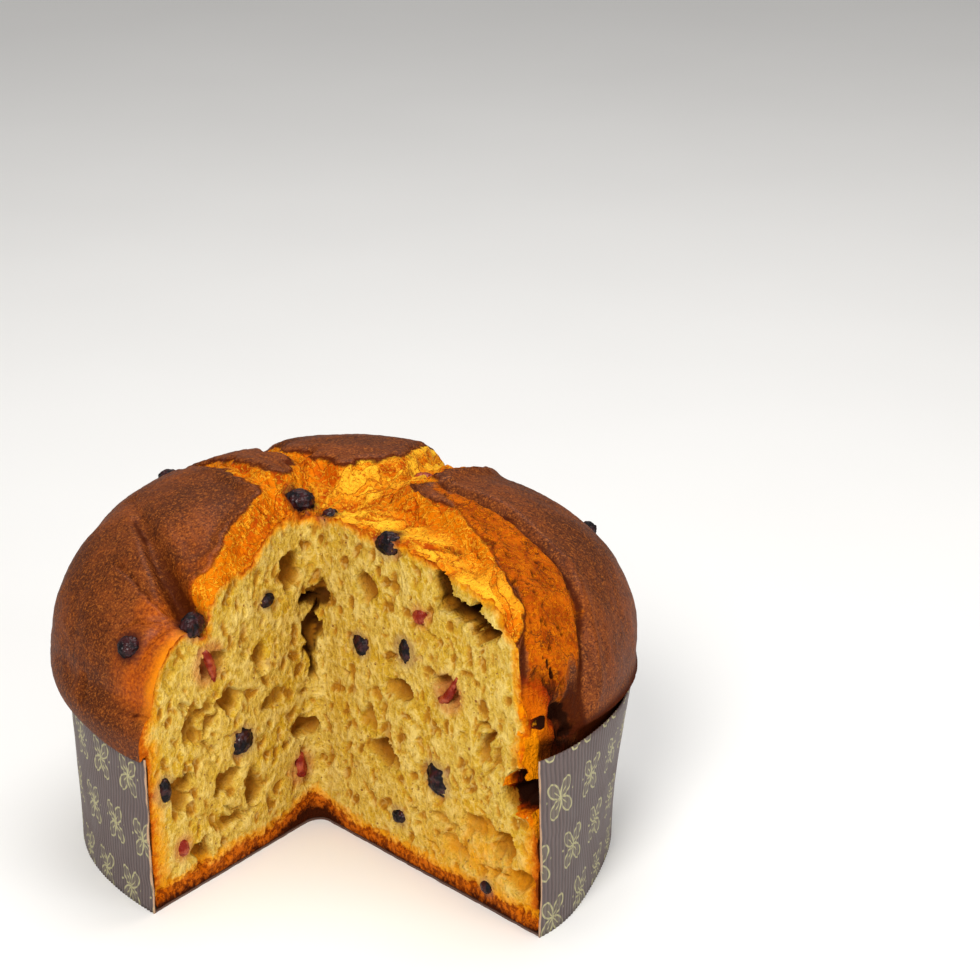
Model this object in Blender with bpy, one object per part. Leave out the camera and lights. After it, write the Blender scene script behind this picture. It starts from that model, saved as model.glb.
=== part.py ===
"""Low panettone with one wedge cut out of it, standing in its paper baking case.

The bread is one solid: a side that fills the case, a domed crust whose scored cross has torn
open into flaps, and two cut faces that meet at a rounded inner corner. The case and each berry
or piece of fruit are solids of their own. Sizes below are millimetres and degrees; the meshes
are made in metres. The frame's origin is the middle of the round base, +Z is up, and the
wedge opens towards -Y.
"""
import bpy
import bmesh
import numpy as np

MM = 0.001

# Baking case
CASE_HEIGHT = 63.0
CASE_FOOT = 92.0
CASE_RIM = 94.0
PAPER = 1.0
GAP = 0.35
FLOOR_PAPER = 0.8

# Where the case is out of round: middle and width of the stretch in degrees, and how far it stands out
FOOT_STRETCHES = ((-54.0, 20.0, 9.5), (-142.0, 36.0, -6.4))
RIM_STRETCHES = ((-30.0, 50.0, 5.5), (-55.0, 20.0, 2.8), (-139.0, 32.0, -7.0))
SIDE_CURVE = 1.6

# Bread
BULGE_HEIGHT = 71.0
BULGE_RADIUS = 98.8
DOME_RISE = 52.0
DOME_SHAPE = 3.2
BREAD_FOOT = FLOOR_PAPER + GAP
FOOT_ROUND = 2.0
MOST_DROOP = 4.5
BULGE_STRETCHES = ((-134.0, 30.0, -10.0), (-52.0, 20.0, -3.0))
SHRINK = (-51.0, 21.0, 5.0)
SHRINK_START = 30.0

# Wedge
APEX = np.array([-9.0, 7.4])
LEFT_CUT = -129.4
RIGHT_CUT = -51.0
CUT_LENGTH = 150.0
APEX_ROUND = 5.0
CUT_LOW = -6.0
CUT_HIGH = 140.0

# Torn cross on top: strokes as (x, y, half width, depth) along each arm
TORN_EDGE = 7.0
TORN_ARMS = (
    ((-2, 9, 15, 9.5), (-20, -6, 9, 7.5), (-38, -28, 6.5, 8.0), (-48, -40, 5, 6.5)),
    ((-4, 10, 12, 8.0), (-19, 9, 5.0, 5.0), (-30, 21, 3.6, 4.5), (-41, 38, 3.6, 4.0), (-53, 56, 2.0, 2.0)),
    ((0, 16, 10, 7.0), (-12, 34, 4.0, 5.5), (-24, 53, 4.0, 5.5), (-31, 76, 4.0, 4.5)),
    ((2, 12, 16, 8.0), (26, 22, 11, 6.0), (38, 42, 11, 5.5), (43, 68, 9, 5.0), (52, 82, 3, 3.0)),
    ((0, 6, 18, 9.0), (20, -20, 18, 7.0), (36, -44, 14, 4.5), (50, -66, 4, 2.0)),
)
LIP_RISE = 1.8

# Lobe that the right flap has left behind, as (x, y, half width)
LOBE = ((31, 4, 6), (48, -16, 10), (61, -36, 13), (67, -54, 11), (62, -68, 6))
LOBE_DEPTH = 3.2

# Crease between the two left flaps, and the split through the sunken berry, as (x, y, half width, depth)
CREASE = ((-69, 24, 2.5, 1.5), (-65, 4, 3.0, 2.5), (-61, -17, 4.0, 4.5), (-57, -34, 5.5, 7.0), (-50, -44, 5.0, 7.0))
SPLIT = ((-70, -50, 2.0, 1.0), (-66, -45, 2.5, 2.0), (-54, -39, 2.0, 1.5))

# Flaps that tip or lift: middle angle, width, the radii where it starts and is whole, and the rise
LEFT_TIP = (-140.0, 38.0, 12.0, 45.0, -10.0)
BACK_FLAP = (86.0, 34.0, 22.0, 42.0, 4.2)
LEFT_FLAP = (146.0, 36.0, 30.0, 60.0, 2.4)

# Hollow beside the left cut, swelling beside the right one and hollow at the back of the right flap:
# middle angle, width, radius, its width, rise
HOLLOWS_AND_SWELLINGS = (
    (-133.0, 15.0, 67.0, 11.0, -10.5), (-50.0, 26.0, 79.0, 9.0, 3.0), (47.0, 17.0, 80.0, 13.0, -3.5),
)

# Lumps of the whole crust: size across, height and seed of the noise
LUMPS = ((31.0, 1.1, 5), (14.0, 0.55, 6))

# Bubbles on the two cut faces: along the cut from the inner corner (left is negative), height,
# width, height of the bubble, lean in degrees and depth
BUBBLES = (
    (-10.4, 96.7, 10.5, 14.0, 25, 7.0), (3.0, 84.0, 8.0, 9.0, -35, 6.0), (-1.5, 71.0, 6.5, 17.0, 0, 7.0),
    (-51.7, 77.1, 11.5, 8.0, 10, 6.5), (-26.9, 71.4, 8.0, 9.5, 0, 4.5), (-43.6, 61.0, 12.0, 10.0, -20, 6.0),
    (-22.5, 53.5, 10.5, 6.0, 15, 4.5), (-55.4, 62.0, 8.5, 6.5, 20, 4.0), (-6.0, 36.2, 13.0, 8.0, 0, 5.5),
    (-62.4, 58.5, 7.0, 13.5, -30, 4.5), (-47.0, 32.5, 12.0, 9.0, -10, 6.0), (-33.1, 23.5, 10.5, 11.0, -35, 6.0),
    (-70.4, 37.9, 9.5, 13.0, 10, 6.0), (-59.2, 10.5, 8.0, 11.0, 15, 5.5), (-43.0, 17.0, 13.0, 4.5, -15, 4.0),
    (64.8, 107.0, 9.0, 11.0, 20, 9.0), (73.0, 102.8, 17.0, 6.5, 20, 9.0), (87.0, 98.5, 16.0, 5.5, 30, 8.0),
    (26.5, 95.1, 9.0, 9.0, 40, 5.5), (44.4, 64.3, 12.0, 8.5, -15, 6.0), (67.5, 73.0, 10.0, 10.0, -15, 6.0),
    (28.4, 47.5, 8.0, 9.0, 10, 5.0), (34.5, 37.6, 12.5, 11.5, 20, 7.0), (86.5, 59.5, 5.0, 15.0, -35, 5.0),
    (95.4, 27.0, 10.0, 11.0, -15, 6.5), (80.0, 27.5, 12.0, 8.5, -20, 3.5), (72.0, 15.5, 14.0, 8.0, 0, 3.5),
    (103.0, 16.0, 9.5, 9.0, 10, 5.0), (107.5, 47.0, 12.0, 11.0, 0, 8.0), (108.0, 71.0, 13.0, 12.0, 0, 9.0),
)

# Fruit: how far it stands out of a cut face, how far its middle is sunk in the crust as a share of
# its height, and the gap round it
FRUIT_PROUD = 1.4
CRUST_SINK = 0.12
POCKET_GAP = 0.4

# Berries and fruit in the cut faces: name, along the cut, height, width, height and lean
CUT_FRUIT = (
    ("dark_berry_1", -37.3, 43.8, 11.5, 10.0, 20), ("dark_berry_2", 23.9, 73.2, 8.0, 8.6, 35),
    ("dark_berry_3", 47.0, 78.9, 5.4, 9.0, 0), ("dark_berry_4", 62.2, 37.5, 12.0, 14.5, 25),
    ("dark_berry_5", 43.1, 16.8, 7.2, 5.2, 20), ("dark_berry_6", -23.5, 89.8, 6.0, 4.2, 20),
    ("dark_berry_7", -76.5, 41.5, 4.8, 8.5, 0), ("dark_berry_8", -58.6, 93.2, 9.6, 8.4, 0),
    ("dark_berry_9", 37.6, 113.4, 11.0, 8.0, 10), ("dark_berry_10", 86.5, 7.6, 5.0, 4.6, 0),
    ("red_fruit_1", -8.6, 22.1, 5.2, 9.2, 0), ("red_fruit_2", 54.4, 93.5, 6.4, 5.4, 40),
    ("red_fruit_3", -69.2, 17.5, 4.8, 6.2, 0), ("red_fruit_4", -53.5, 78.5, 3.4, 13.5, 20),
    ("red_fruit_5", 68.0, 70.5, 3.4, 14.0, -40),
)

# Berries sunk in the crust: name, plan x and y, width and height
CRUST_FRUIT = (
    ("dark_berry_11", -72.5, -43.0, 8.0, 7.4), ("dark_berry_12", -13.5, 11.5, 10.5, 8.0),
    ("dark_berry_13", -3.0, 5.5, 5.8, 6.0), ("dark_berry_14", -58.0, 60.0, 7.6, 6.4),
    ("dark_berry_15", 4.0, 86.0, 7.0, 6.0), ("dark_berry_16", 52.0, 62.0, 8.2, 7.0),
    ("dark_berry_17", 85.0, 24.0, 6.4, 5.6), ("red_fruit_6", 30.0, 33.0, 6.4, 5.0),
)

# How finely the solids are faceted
COLUMNS = 84
DOME_RINGS = 20
POLE = np.array([-5.0, -14.0])
CUT_STEP = 3.8
CASE_CUT_STEP = 50.0


# Small tools

def wrap(angle):
    """An angle in degrees, brought between -180 and 180."""
    return (angle + 180.0) % 360.0 - 180.0


def swell(angle, centre, width):
    """A smooth rise to 1 at one side of the loaf, for an angle round the axis."""
    return np.exp(-(wrap(angle - centre) / width) ** 2)


def ease(low, high, x):
    """0 below low, 1 above high and a smooth step between."""
    t = np.clip((x - low) / (high - low), 0.0, 1.0)
    return t * t * (3.0 - 2.0 * t)


def angle_of(x, y):
    return np.degrees(np.arctan2(y, x))


def direction(angle):
    a = np.radians(angle)
    return np.stack([np.cos(a), np.sin(a)], -1)


# Shape of the case and of the bread in it

def stretched(angle, stretches):
    """How far a round edge stands out of true at an angle."""
    return sum(amount * swell(angle, middle, width) for middle, width, amount in stretches)


def case_radius(angle, z):
    """Outer radius of the paper, sprung out at the right of the cut and pressed in at the left."""
    foot = CASE_FOOT + stretched(angle, FOOT_STRETCHES)
    rim = CASE_RIM + stretched(angle, RIM_STRETCHES)
    return foot + (rim - foot) * np.clip(z / CASE_HEIGHT, 0.0, 1.05) ** SIDE_CURVE


def side_radius(angle, z):
    """Radius of the bread inside the case, which it leaves near the top at the right."""
    shrink = stretched(angle, (SHRINK,)) * ease(SHRINK_START, CASE_HEIGHT, z)
    return case_radius(angle, z) - PAPER - GAP - shrink


def bulge_radius(angle):
    """Widest radius of the crust above the case."""
    return BULGE_RADIUS + stretched(angle, BULGE_STRETCHES)


def dome_height(x, y):
    """Height of the plain dome over a point of the plan."""
    part = np.clip(np.hypot(x, y) / bulge_radius(angle_of(x, y)), 0.0, 1.0)
    return BULGE_HEIGHT + DOME_RISE * np.sqrt(1.0 - part ** DOME_SHAPE)


def noise(points, size, seed):
    """Smooth noise between -1 and 1 from a lattice of random values, for points in the plane or in space."""
    points = np.asarray(points, float)
    points = points / size + 100.0
    dims = points.shape[-1]
    table = np.random.default_rng(seed).uniform(-1.0, 1.0, (32,) * dims)
    cell = np.floor(points).astype(int)
    part = points - cell
    part = part * part * (3.0 - 2.0 * part)
    total = np.zeros(points.shape[:-1])
    for corner in np.ndindex(*(2,) * dims):
        weight = np.ones(points.shape[:-1])
        index = []
        for axis in range(dims):
            weight = weight * (part[..., axis] if corner[axis] else 1.0 - part[..., axis])
            index.append((cell[..., axis] + corner[axis]) % 32)
        total += weight * table[tuple(index)]
    return total


def stroke(x, y, points):
    """Distance outside a tapering stroke (negative inside) and its other values, blended along it."""
    best = np.full(np.shape(x), 1e9)
    value = np.zeros(np.shape(x))
    for a, b in zip(points, points[1:]):
        ax, ay, bx, by = a[0], a[1], b[0], b[1]
        length = (bx - ax) ** 2 + (by - ay) ** 2
        t = np.clip(((x - ax) * (bx - ax) + (y - ay) * (by - ay)) / length, 0.0, 1.0)
        away = np.hypot(x - ax - t * (bx - ax), y - ay - t * (by - ay))
        away = away - a[2] - t * (b[2] - a[2])
        near = away < best
        best = np.where(near, away, best)
        value = np.where(near, a[-1] + t * (b[-1] - a[-1]), value)
    return best, value


def tipped(x, y, flap):
    """Rise of a flap that tips more and more away from the middle."""
    middle, width, start, whole, rise = flap
    return rise * swell(angle_of(x, y), middle, width) * ease(start, whole, np.hypot(x, y))


def bumped(x, y, spot):
    """Rise of one round swelling or hollow of the crust."""
    middle, width, radius, across, rise = spot
    return rise * swell(angle_of(x, y), middle, width) * np.exp(-((np.hypot(x, y) - radius) / across) ** 2)


def shoulder(x, y):
    """How far the crust sinks beside the left cut, and its broad hollows and swellings."""
    outer = ease(78.0, 95.0, np.hypot(x, y))
    tip = tipped(x, y, LEFT_TIP) * (1.0 - 0.4 * outer)
    return tip + sum(bumped(x, y, spot) for spot in HOLLOWS_AND_SWELLINGS)


def torn(x, y):
    """Distance outside the torn cross and how deep it lies at each point."""
    away = np.full(np.shape(x), 1e9)
    depth = np.zeros(np.shape(x))
    for arm in TORN_ARMS:
        outside, deep = stroke(x, y, arm)
        away = np.minimum(away, outside)
        depth = np.maximum(depth, deep * ease(0.0, TORN_EDGE, -outside))
    return away, depth


def crust_relief(x, y):
    """How far the crust stands above the plain dome: flaps, torn cross, lobe, crease and lumps."""
    away, depth = torn(x, y)
    rise = shoulder(x, y) - depth + LIP_RISE * np.exp(-((away - 2.5) / 2.5) ** 2)
    outer = ease(82.0, 99.0, np.hypot(x, y))
    lifted = tipped(x, y, BACK_FLAP) + tipped(x, y, LEFT_FLAP)
    rise = rise + lifted * (1.0 - outer) * ease(0.0, 7.0, away)
    outside, width = stroke(x, y, LOBE)
    groove = LOBE_DEPTH * np.exp(-(outside / 3.0) ** 2)
    rise = rise - groove * ease(-1.0, 4.0, away)
    for line in (CREASE, SPLIT):
        outside, deep = stroke(x, y, line)
        rise = rise - deep * ease(-1.5, 4.0, -outside)
    for across, height, seed in LUMPS:
        rise = rise + height * noise(np.stack([x, y], -1), across, seed)
    return rise


# Meshes

def grid_faces(rows, columns, closed):
    """Quads of a grid of points, row by row, with the last column joined to the first if closed."""
    last = columns if closed else columns - 1
    faces = []
    for i in range(rows - 1):
        for j in range(last):
            k = (j + 1) % columns
            faces.append((i * columns + j, i * columns + k, (i + 1) * columns + k, (i + 1) * columns + j))
    return faces


def make_object(name, points, faces, material=None):
    """An object from points in millimetres, its faces turned outwards."""
    mesh = bpy.data.meshes.new(name)
    mesh.from_pydata([tuple(p) for p in np.asarray(points) * MM], [], faces)
    work = bmesh.new()
    work.from_mesh(mesh)
    bmesh.ops.recalc_face_normals(work, faces=work.faces)
    work.to_mesh(mesh)
    work.free()
    obj = bpy.data.objects.new(name, mesh)
    bpy.context.collection.objects.link(obj)
    if material:
        mesh.materials.append(material)
    return obj


def subtract(obj, cutter):
    """Cut one object out of another and remove the cutter."""
    step = obj.modifiers.new("cut", "BOOLEAN")
    step.operation = "DIFFERENCE"
    step.solver = "EXACT"
    step.object = cutter
    bpy.context.view_layer.update()
    seen = obj.evaluated_get(bpy.context.evaluated_depsgraph_get())
    cut = bpy.data.meshes.new_from_object(seen)
    obj.modifiers.remove(step)
    obj.data = cut
    bpy.data.objects.remove(cutter)


def dome_turns():
    """Turns along the dome's profile, from its widest ring up, that space the rings evenly."""
    turn = np.linspace(0.0, np.pi / 2.0, 400)
    radius = BULGE_RADIUS * np.cos(turn) ** (2.0 / DOME_SHAPE)
    step = np.hypot(np.diff(radius), np.diff(DOME_RISE * np.sin(turn)))
    length = np.concatenate([[0.0], np.cumsum(step)])
    return np.interp(np.arange(DOME_RINGS) / DOME_RINGS * length[-1], length, turn)


def bread_rings():
    """Rings of points from the foot of the bread to the top of its dome."""
    angle = np.arange(COLUMNS) * 360.0 / COLUMNS
    way = direction(angle)
    rings = []

    def ring(radius, z):
        z = np.broadcast_to(np.asarray(z, float), radius.shape)
        rings.append(np.column_stack([way * radius[:, None], z]))

    for turn in (0.0, 90.0):
        t = np.radians(turn)
        inset = FOOT_ROUND * (1.0 - np.sin(t))
        z = BREAD_FOOT + FOOT_ROUND * (1.0 - np.cos(t))
        ring(side_radius(angle, z) - inset, z)
    for z in (28.0, 48.0):
        ring(side_radius(angle, z), z)

    rim = CASE_HEIGHT + GAP
    over = bulge_radius(angle) - case_radius(angle, CASE_HEIGHT)
    outside = ease(1.0, 3.0, over)
    droop = MOST_DROOP * ease(3.0, 5.5, over)
    side = side_radius(angle, rim)
    edge = case_radius(angle, CASE_HEIGHT) + GAP
    ring(side, rim)
    ring(side + 0.8 + (edge - side - 0.8) * outside, rim + 0.4 * (1.0 - outside))
    ring(side + 1.6 + (edge - side - 1.6) * outside, rim + 1.0 * (1.0 - outside) - droop - 0.05)
    lip = side + 2.6 + (edge + 1.2 - side - 2.6) * outside
    low = rim + 2.0 * (1.0 - outside) - droop - 0.5 * outside
    ring(lip, low)
    bulge = bulge_radius(angle)
    for turn in (60.0, 30.0):
        t = np.radians(turn)
        ring(lip + (bulge - lip) * np.cos(t), BULGE_HEIGHT - (BULGE_HEIGHT - low) * np.sin(t))
    for t in dome_turns():
        part = np.cos(t) ** (2.0 / DOME_SHAPE)
        radius = bulge * part
        shift = POLE * (1.0 - part) ** 1.5
        plan = way * radius[:, None] + shift
        x, y = plan[:, 0], plan[:, 1]
        flat = ease(0.0, 0.3, np.sin(t))
        z = (1.0 - flat) * (BULGE_HEIGHT + DOME_RISE * np.sin(t)) + flat * dome_height(x, y)
        rings.append(np.column_stack([x, y, z]))
    return rings


def crust_moved(points):
    """Points of the dome, moved along its normal by the relief of the crust."""
    x, y, z = points.T
    rise = crust_relief(x, y) * ease(BULGE_HEIGHT - 8.0, BULGE_HEIGHT + 6.0, z)
    steep = np.clip((z - BULGE_HEIGHT) / DOME_RISE, 0.0, 1.0)
    out = np.column_stack([x, y, 0.0 * z]) / BULGE_RADIUS
    out[:, 2] = 0.35 + 1.6 * steep
    out /= np.linalg.norm(out, axis=1)[:, None]
    return points + out * rise[:, None]


def bread_body(material):
    """The whole round loaf, before the wedge is cut out."""
    rings = bread_rings()
    points = np.concatenate(rings)
    top = np.array([[POLE[0], POLE[1], dome_height(*POLE)]])
    foot = np.array([[0.0, 0.0, BREAD_FOOT]])
    points = crust_moved(np.concatenate([points, top, foot]))
    faces = grid_faces(len(rings), COLUMNS, True)
    count = len(rings) * COLUMNS
    last = (len(rings) - 1) * COLUMNS
    for j in range(COLUMNS):
        k = (j + 1) % COLUMNS
        faces.append((last + j, last + k, count))
        faces.append((k, j, count + 1))
    return make_object("loaf", points, faces, material)


def cut_path(step):
    """Plan points along the two cuts, from the left end round the inner corner to the right end."""
    left = direction(LEFT_CUT)
    right = direction(RIGHT_CUT)
    middle = (left + right) / np.linalg.norm(left + right)
    half = np.radians((RIGHT_CUT - LEFT_CUT) / 2.0)
    reach = APEX_ROUND / np.tan(half)
    centre = APEX + middle * APEX_ROUND / np.sin(half)
    straight = np.linspace(reach, CUT_LENGTH, 2 + int((CUT_LENGTH - reach) / step))[1:]
    path = []
    for s in straight[::-1]:
        path.append((APEX + left * s, -s))
    for turn in np.linspace(-1.0, 1.0, 2 + int(2.0 * APEX_ROUND / step)):
        a = np.arctan2(-middle[1], -middle[0]) - turn * (np.pi / 2.0 - half)
        path.append((centre + APEX_ROUND * np.array([np.cos(a), np.sin(a)]), turn * reach))
    for s in straight:
        path.append((APEX + right * s, s))
    plan = np.array([p for p, s in path])
    return plan, np.array([s for p, s in path])


def cut_depth(along, z):
    """How far the cut face lies behind its plane: bubbles and a slight unevenness."""
    depth = 0.8 * noise(np.stack([along, z], -1), 11.0, 7)
    for middle, height, wide, high, lean, deep in BUBBLES:
        a = np.radians(lean)
        p = ((along - middle) * np.cos(a) + (z - height) * np.sin(a)) * 2.0 / wide
        q = ((z - height) * np.cos(a) - (along - middle) * np.sin(a)) * 2.0 / high
        depth = np.maximum(depth, deep * (1.0 - np.clip(p * p + q * q, 0.0, 1.0) ** 1.5))
    return depth


def wedge(step, bubbly):
    """The solid that the cut takes away, with the bubbles of the bread standing out from it."""
    plan, along = cut_path(step)
    heights = np.arange(CUT_LOW, CUT_HIGH + step, step)
    tangent = np.gradient(plan, axis=0)
    tangent /= np.linalg.norm(tangent, axis=1)[:, None]
    inward = np.column_stack([-tangent[:, 1], tangent[:, 0]])
    rows = []
    for z in heights:
        moved = plan
        if bubbly:
            fade = ease(0.0, 4.0, z) * (1.0 - ease(122.0, 130.0, z))
            moved = plan + inward * (fade * cut_depth(along, np.full(len(along), z)))[:, None]
        rows.append(np.column_stack([moved, np.full(len(plan), z)]))
    points = np.concatenate(rows)
    n = len(plan)
    faces = grid_faces(len(heights), n, False)
    top = (len(heights) - 1) * n
    faces.append(tuple(range(n)))
    faces.append(tuple(top + i for i in range(n)))
    front = [i * n for i in range(len(heights))] + [i * n + n - 1 for i in reversed(range(len(heights)))]
    faces.append(tuple(front))
    return make_object("wedge", points, faces)


def paper_case(material):
    """The thin cup of paper, cut through with the bread."""
    angle = np.arange(COLUMNS) * 360.0 / COLUMNS
    way = direction(angle)
    levels = (0.0, 0.3 * CASE_HEIGHT, 0.65 * CASE_HEIGHT, CASE_HEIGHT)
    rings = []
    for z in levels:
        rings.append(np.column_stack([way * case_radius(angle, z)[:, None], np.full(COLUMNS, z)]))
    for z in levels[:0:-1] + (FLOOR_PAPER,):
        inner = case_radius(angle, z) - PAPER
        rings.append(np.column_stack([way * inner[:, None], np.full(COLUMNS, z)]))
    faces = grid_faces(len(rings), COLUMNS, True)
    last = (len(rings) - 1) * COLUMNS
    faces.append(tuple(range(COLUMNS)))
    faces.append(tuple(last + j for j in range(COLUMNS)))
    case = make_object("paper_case", np.concatenate(rings), faces, material)
    subtract(case, wedge(CASE_CUT_STEP, False))
    return case


def berry_shape(centre, axes, sizes, seed):
    """Points, outward directions and faces of a wrinkled berry; axes are three unit vectors."""
    work = bmesh.new()
    bmesh.ops.create_icosphere(work, subdivisions=2, radius=1.0)
    ball = np.array([tuple(v.co) for v in work.verts])
    faces = [tuple(v.index for v in f.verts) for f in work.faces]
    work.free()
    radii = np.array(sizes) / 2.0
    wrinkle = 1.0 + 0.09 * noise(ball * 2.0 + seed, 1.0, 11)
    points = centre + (ball * radii * wrinkle[:, None]) @ axes
    outward = (ball / radii) @ axes
    return points, outward / np.linalg.norm(outward, axis=1)[:, None], faces


def add_fruit(name, centre, axes, sizes, seed, material, pockets):
    """A berry or piece of fruit, and the pocket in the bread that it sits in."""
    points, outward, faces = berry_shape(centre, axes, sizes, seed)
    make_object(name, points, faces, material)
    pockets.append((points + outward * POCKET_GAP, faces))


def kind_of(name, materials):
    """The material of a berry, from its name without the number."""
    return materials[name.rsplit("_", 1)[0]]


def cut_fruit(pockets, materials):
    """The berries and fruit that the two cuts have bared."""
    for seed, (name, along, z, wide, high, lean) in enumerate(CUT_FRUIT):
        way = direction(LEFT_CUT if along < 0 else RIGHT_CUT)
        ahead = -way if along < 0 else way
        inward = np.array([-ahead[1], ahead[0], 0.0])
        a = np.radians(lean)
        across = np.array([ahead[0], ahead[1], 0.0])
        up = np.array([0.0, 0.0, 1.0])
        axes = np.array([across * np.cos(a) + up * np.sin(a), inward, up * np.cos(a) - across * np.sin(a)])
        deep = 0.85 * min(wide, high)
        plan = APEX + way * abs(along)
        centre = np.array([plan[0], plan[1], z]) + inward * (deep / 2.0 - FRUIT_PROUD)
        add_fruit(name, centre, axes, (wide, deep, high), seed, kind_of(name, materials), pockets)


def crust_fruit(pockets, materials):
    """The berries that have sunk into the crust."""
    for seed, (name, x, y, wide, high) in enumerate(CRUST_FRUIT):
        plain = np.array([[x, y, float(dome_height(x, y))]])
        point = crust_moved(plain)[0]
        centre = point - np.array([0.0, 0.0, high * CRUST_SINK])
        sizes = (wide, wide * 0.92, high)
        add_fruit(name, centre, np.eye(3), sizes, seed + 40, kind_of(name, materials), pockets)


def cut_pockets(loaf, pockets):
    """Cut every pocket out of the bread in one step."""
    points, faces = [], []
    for some, their in pockets:
        first = sum(len(p) for p in points)
        points.append(some)
        faces.extend(tuple(i + first for i in face) for face in their)
    subtract(loaf, make_object("pockets", np.concatenate(points), faces))


def drop_scraps(obj):
    """Keep the largest body of a mesh and drop crumbs that a cut has freed."""
    work = bmesh.new()
    work.from_mesh(obj.data)
    bmesh.ops.remove_doubles(work, verts=work.verts, dist=1e-6)
    left = set(work.faces)
    bodies = []
    while left:
        body = set()
        todo = [left.pop()]
        while todo:
            face = todo.pop()
            body.add(face)
            for edge in face.edges:
                for other in edge.link_faces:
                    if other in left:
                        left.remove(other)
                        todo.append(other)
        bodies.append(body)
    bodies.sort(key=len)
    scraps = [face for body in bodies[:-1] for face in body]
    bmesh.ops.delete(work, geom=scraps, context="FACES")
    work.to_mesh(obj.data)
    work.free()


def finish(name, colour, roughness):
    """A plain material in the piece's own colour."""
    material = bpy.data.materials.new(name)
    material.use_nodes = True
    shader = material.node_tree.nodes["Principled BSDF"]
    shader.inputs["Base Color"].default_value = (*colour, 1.0)
    shader.inputs["Roughness"].default_value = roughness
    shader.inputs["Metallic"].default_value = 0.0
    return material


def main():
    for old in list(bpy.data.objects):
        bpy.data.objects.remove(old, do_unlink=True)
    bread = finish("baked_bread", (0.62, 0.36, 0.10), 0.75)
    paper = finish("brown_paper", (0.14, 0.115, 0.115), 0.8)
    materials = {
        "dark_berry": finish("dark_berries", (0.03, 0.012, 0.022), 0.35),
        "red_fruit": finish("red_fruit", (0.36, 0.03, 0.03), 0.45),
    }
    loaf = bread_body(bread)
    subtract(loaf, wedge(CUT_STEP, True))
    paper_case(paper)
    pockets = []
    cut_fruit(pockets, materials)
    crust_fruit(pockets, materials)
    cut_pockets(loaf, pockets)
    drop_scraps(loaf)


main()
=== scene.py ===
"""Looks of a low panettone with one wedge cut out, in its ribbed paper mould.

The bread is one fine closed mesh: a crust whose scored cross has torn open, and two cut faces full
of bubbles and pores. The shape functions work in millimetres and degrees, in the same frame as
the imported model; meshes are made in metres.
"""
import math

import bmesh
import bpy
import numpy as np
from mathutils import Euler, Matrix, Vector
from mathutils.kdtree import KDTree


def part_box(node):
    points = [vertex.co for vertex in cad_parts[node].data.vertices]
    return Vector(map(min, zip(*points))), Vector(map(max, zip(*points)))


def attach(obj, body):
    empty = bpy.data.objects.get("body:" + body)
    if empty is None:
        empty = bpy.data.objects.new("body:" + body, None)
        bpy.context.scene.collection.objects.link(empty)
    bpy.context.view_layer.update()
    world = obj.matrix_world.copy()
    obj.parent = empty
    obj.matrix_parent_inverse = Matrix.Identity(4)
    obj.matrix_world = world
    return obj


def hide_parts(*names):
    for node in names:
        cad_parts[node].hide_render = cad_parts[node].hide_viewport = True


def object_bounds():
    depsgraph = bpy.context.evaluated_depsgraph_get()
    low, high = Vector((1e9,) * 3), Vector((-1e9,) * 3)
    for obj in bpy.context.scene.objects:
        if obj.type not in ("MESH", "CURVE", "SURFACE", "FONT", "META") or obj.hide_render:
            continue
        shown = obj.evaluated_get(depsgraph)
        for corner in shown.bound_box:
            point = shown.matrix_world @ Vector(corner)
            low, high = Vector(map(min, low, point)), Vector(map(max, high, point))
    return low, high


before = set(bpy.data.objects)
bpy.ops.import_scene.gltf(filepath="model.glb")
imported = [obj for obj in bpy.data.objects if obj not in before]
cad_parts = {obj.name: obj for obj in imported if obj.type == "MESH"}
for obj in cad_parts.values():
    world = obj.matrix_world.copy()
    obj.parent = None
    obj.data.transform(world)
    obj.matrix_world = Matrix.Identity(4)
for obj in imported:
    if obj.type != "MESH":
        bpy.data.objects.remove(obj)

MM = 0.001
BODY = "root"
CAD_BOX = [list(corner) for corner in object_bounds()]

# Paper mould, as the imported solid
CASE_HEIGHT = 63.0
CASE_FOOT = 92.0
CASE_RIM = 94.0
PAPER = 1.0
GAP = 0.35
FLOOR_PAPER = 0.8
FOOT_STRETCHES = ((-54.0, 20.0, 9.5), (-142.0, 36.0, -6.4))
RIM_STRETCHES = ((-30.0, 50.0, 5.5), (-55.0, 20.0, 2.8), (-139.0, 32.0, -7.0))
SIDE_CURVE = 1.6

# Bread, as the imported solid
BULGE_HEIGHT = 71.0
BULGE_RADIUS = 98.8
DOME_RISE = 52.0
DOME_SHAPE = 3.2
BREAD_FOOT = FLOOR_PAPER + GAP
FOOT_ROUND = 2.0
MOST_DROOP = 4.5
BULGE_STRETCHES = ((-134.0, 30.0, -10.0), (-52.0, 20.0, -3.0))
LEFT_LIP = (-138.0, 18.0, 4.0)
LEFT_DROOP = (-143.0, 14.0, 2.5)
PRESSED_PAPER = (-137.0, 7.0, 6.6)
SHRINK = (-51.0, 21.0, 5.0)
SHRINK_START = 30.0
POLE = np.array([-5.0, -14.0])

# Wedge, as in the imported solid
APEX = np.array([-9.0, 7.4])
LEFT_CUT = -129.4
RIGHT_CUT = -51.0
APEX_ROUND = 5.0

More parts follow.
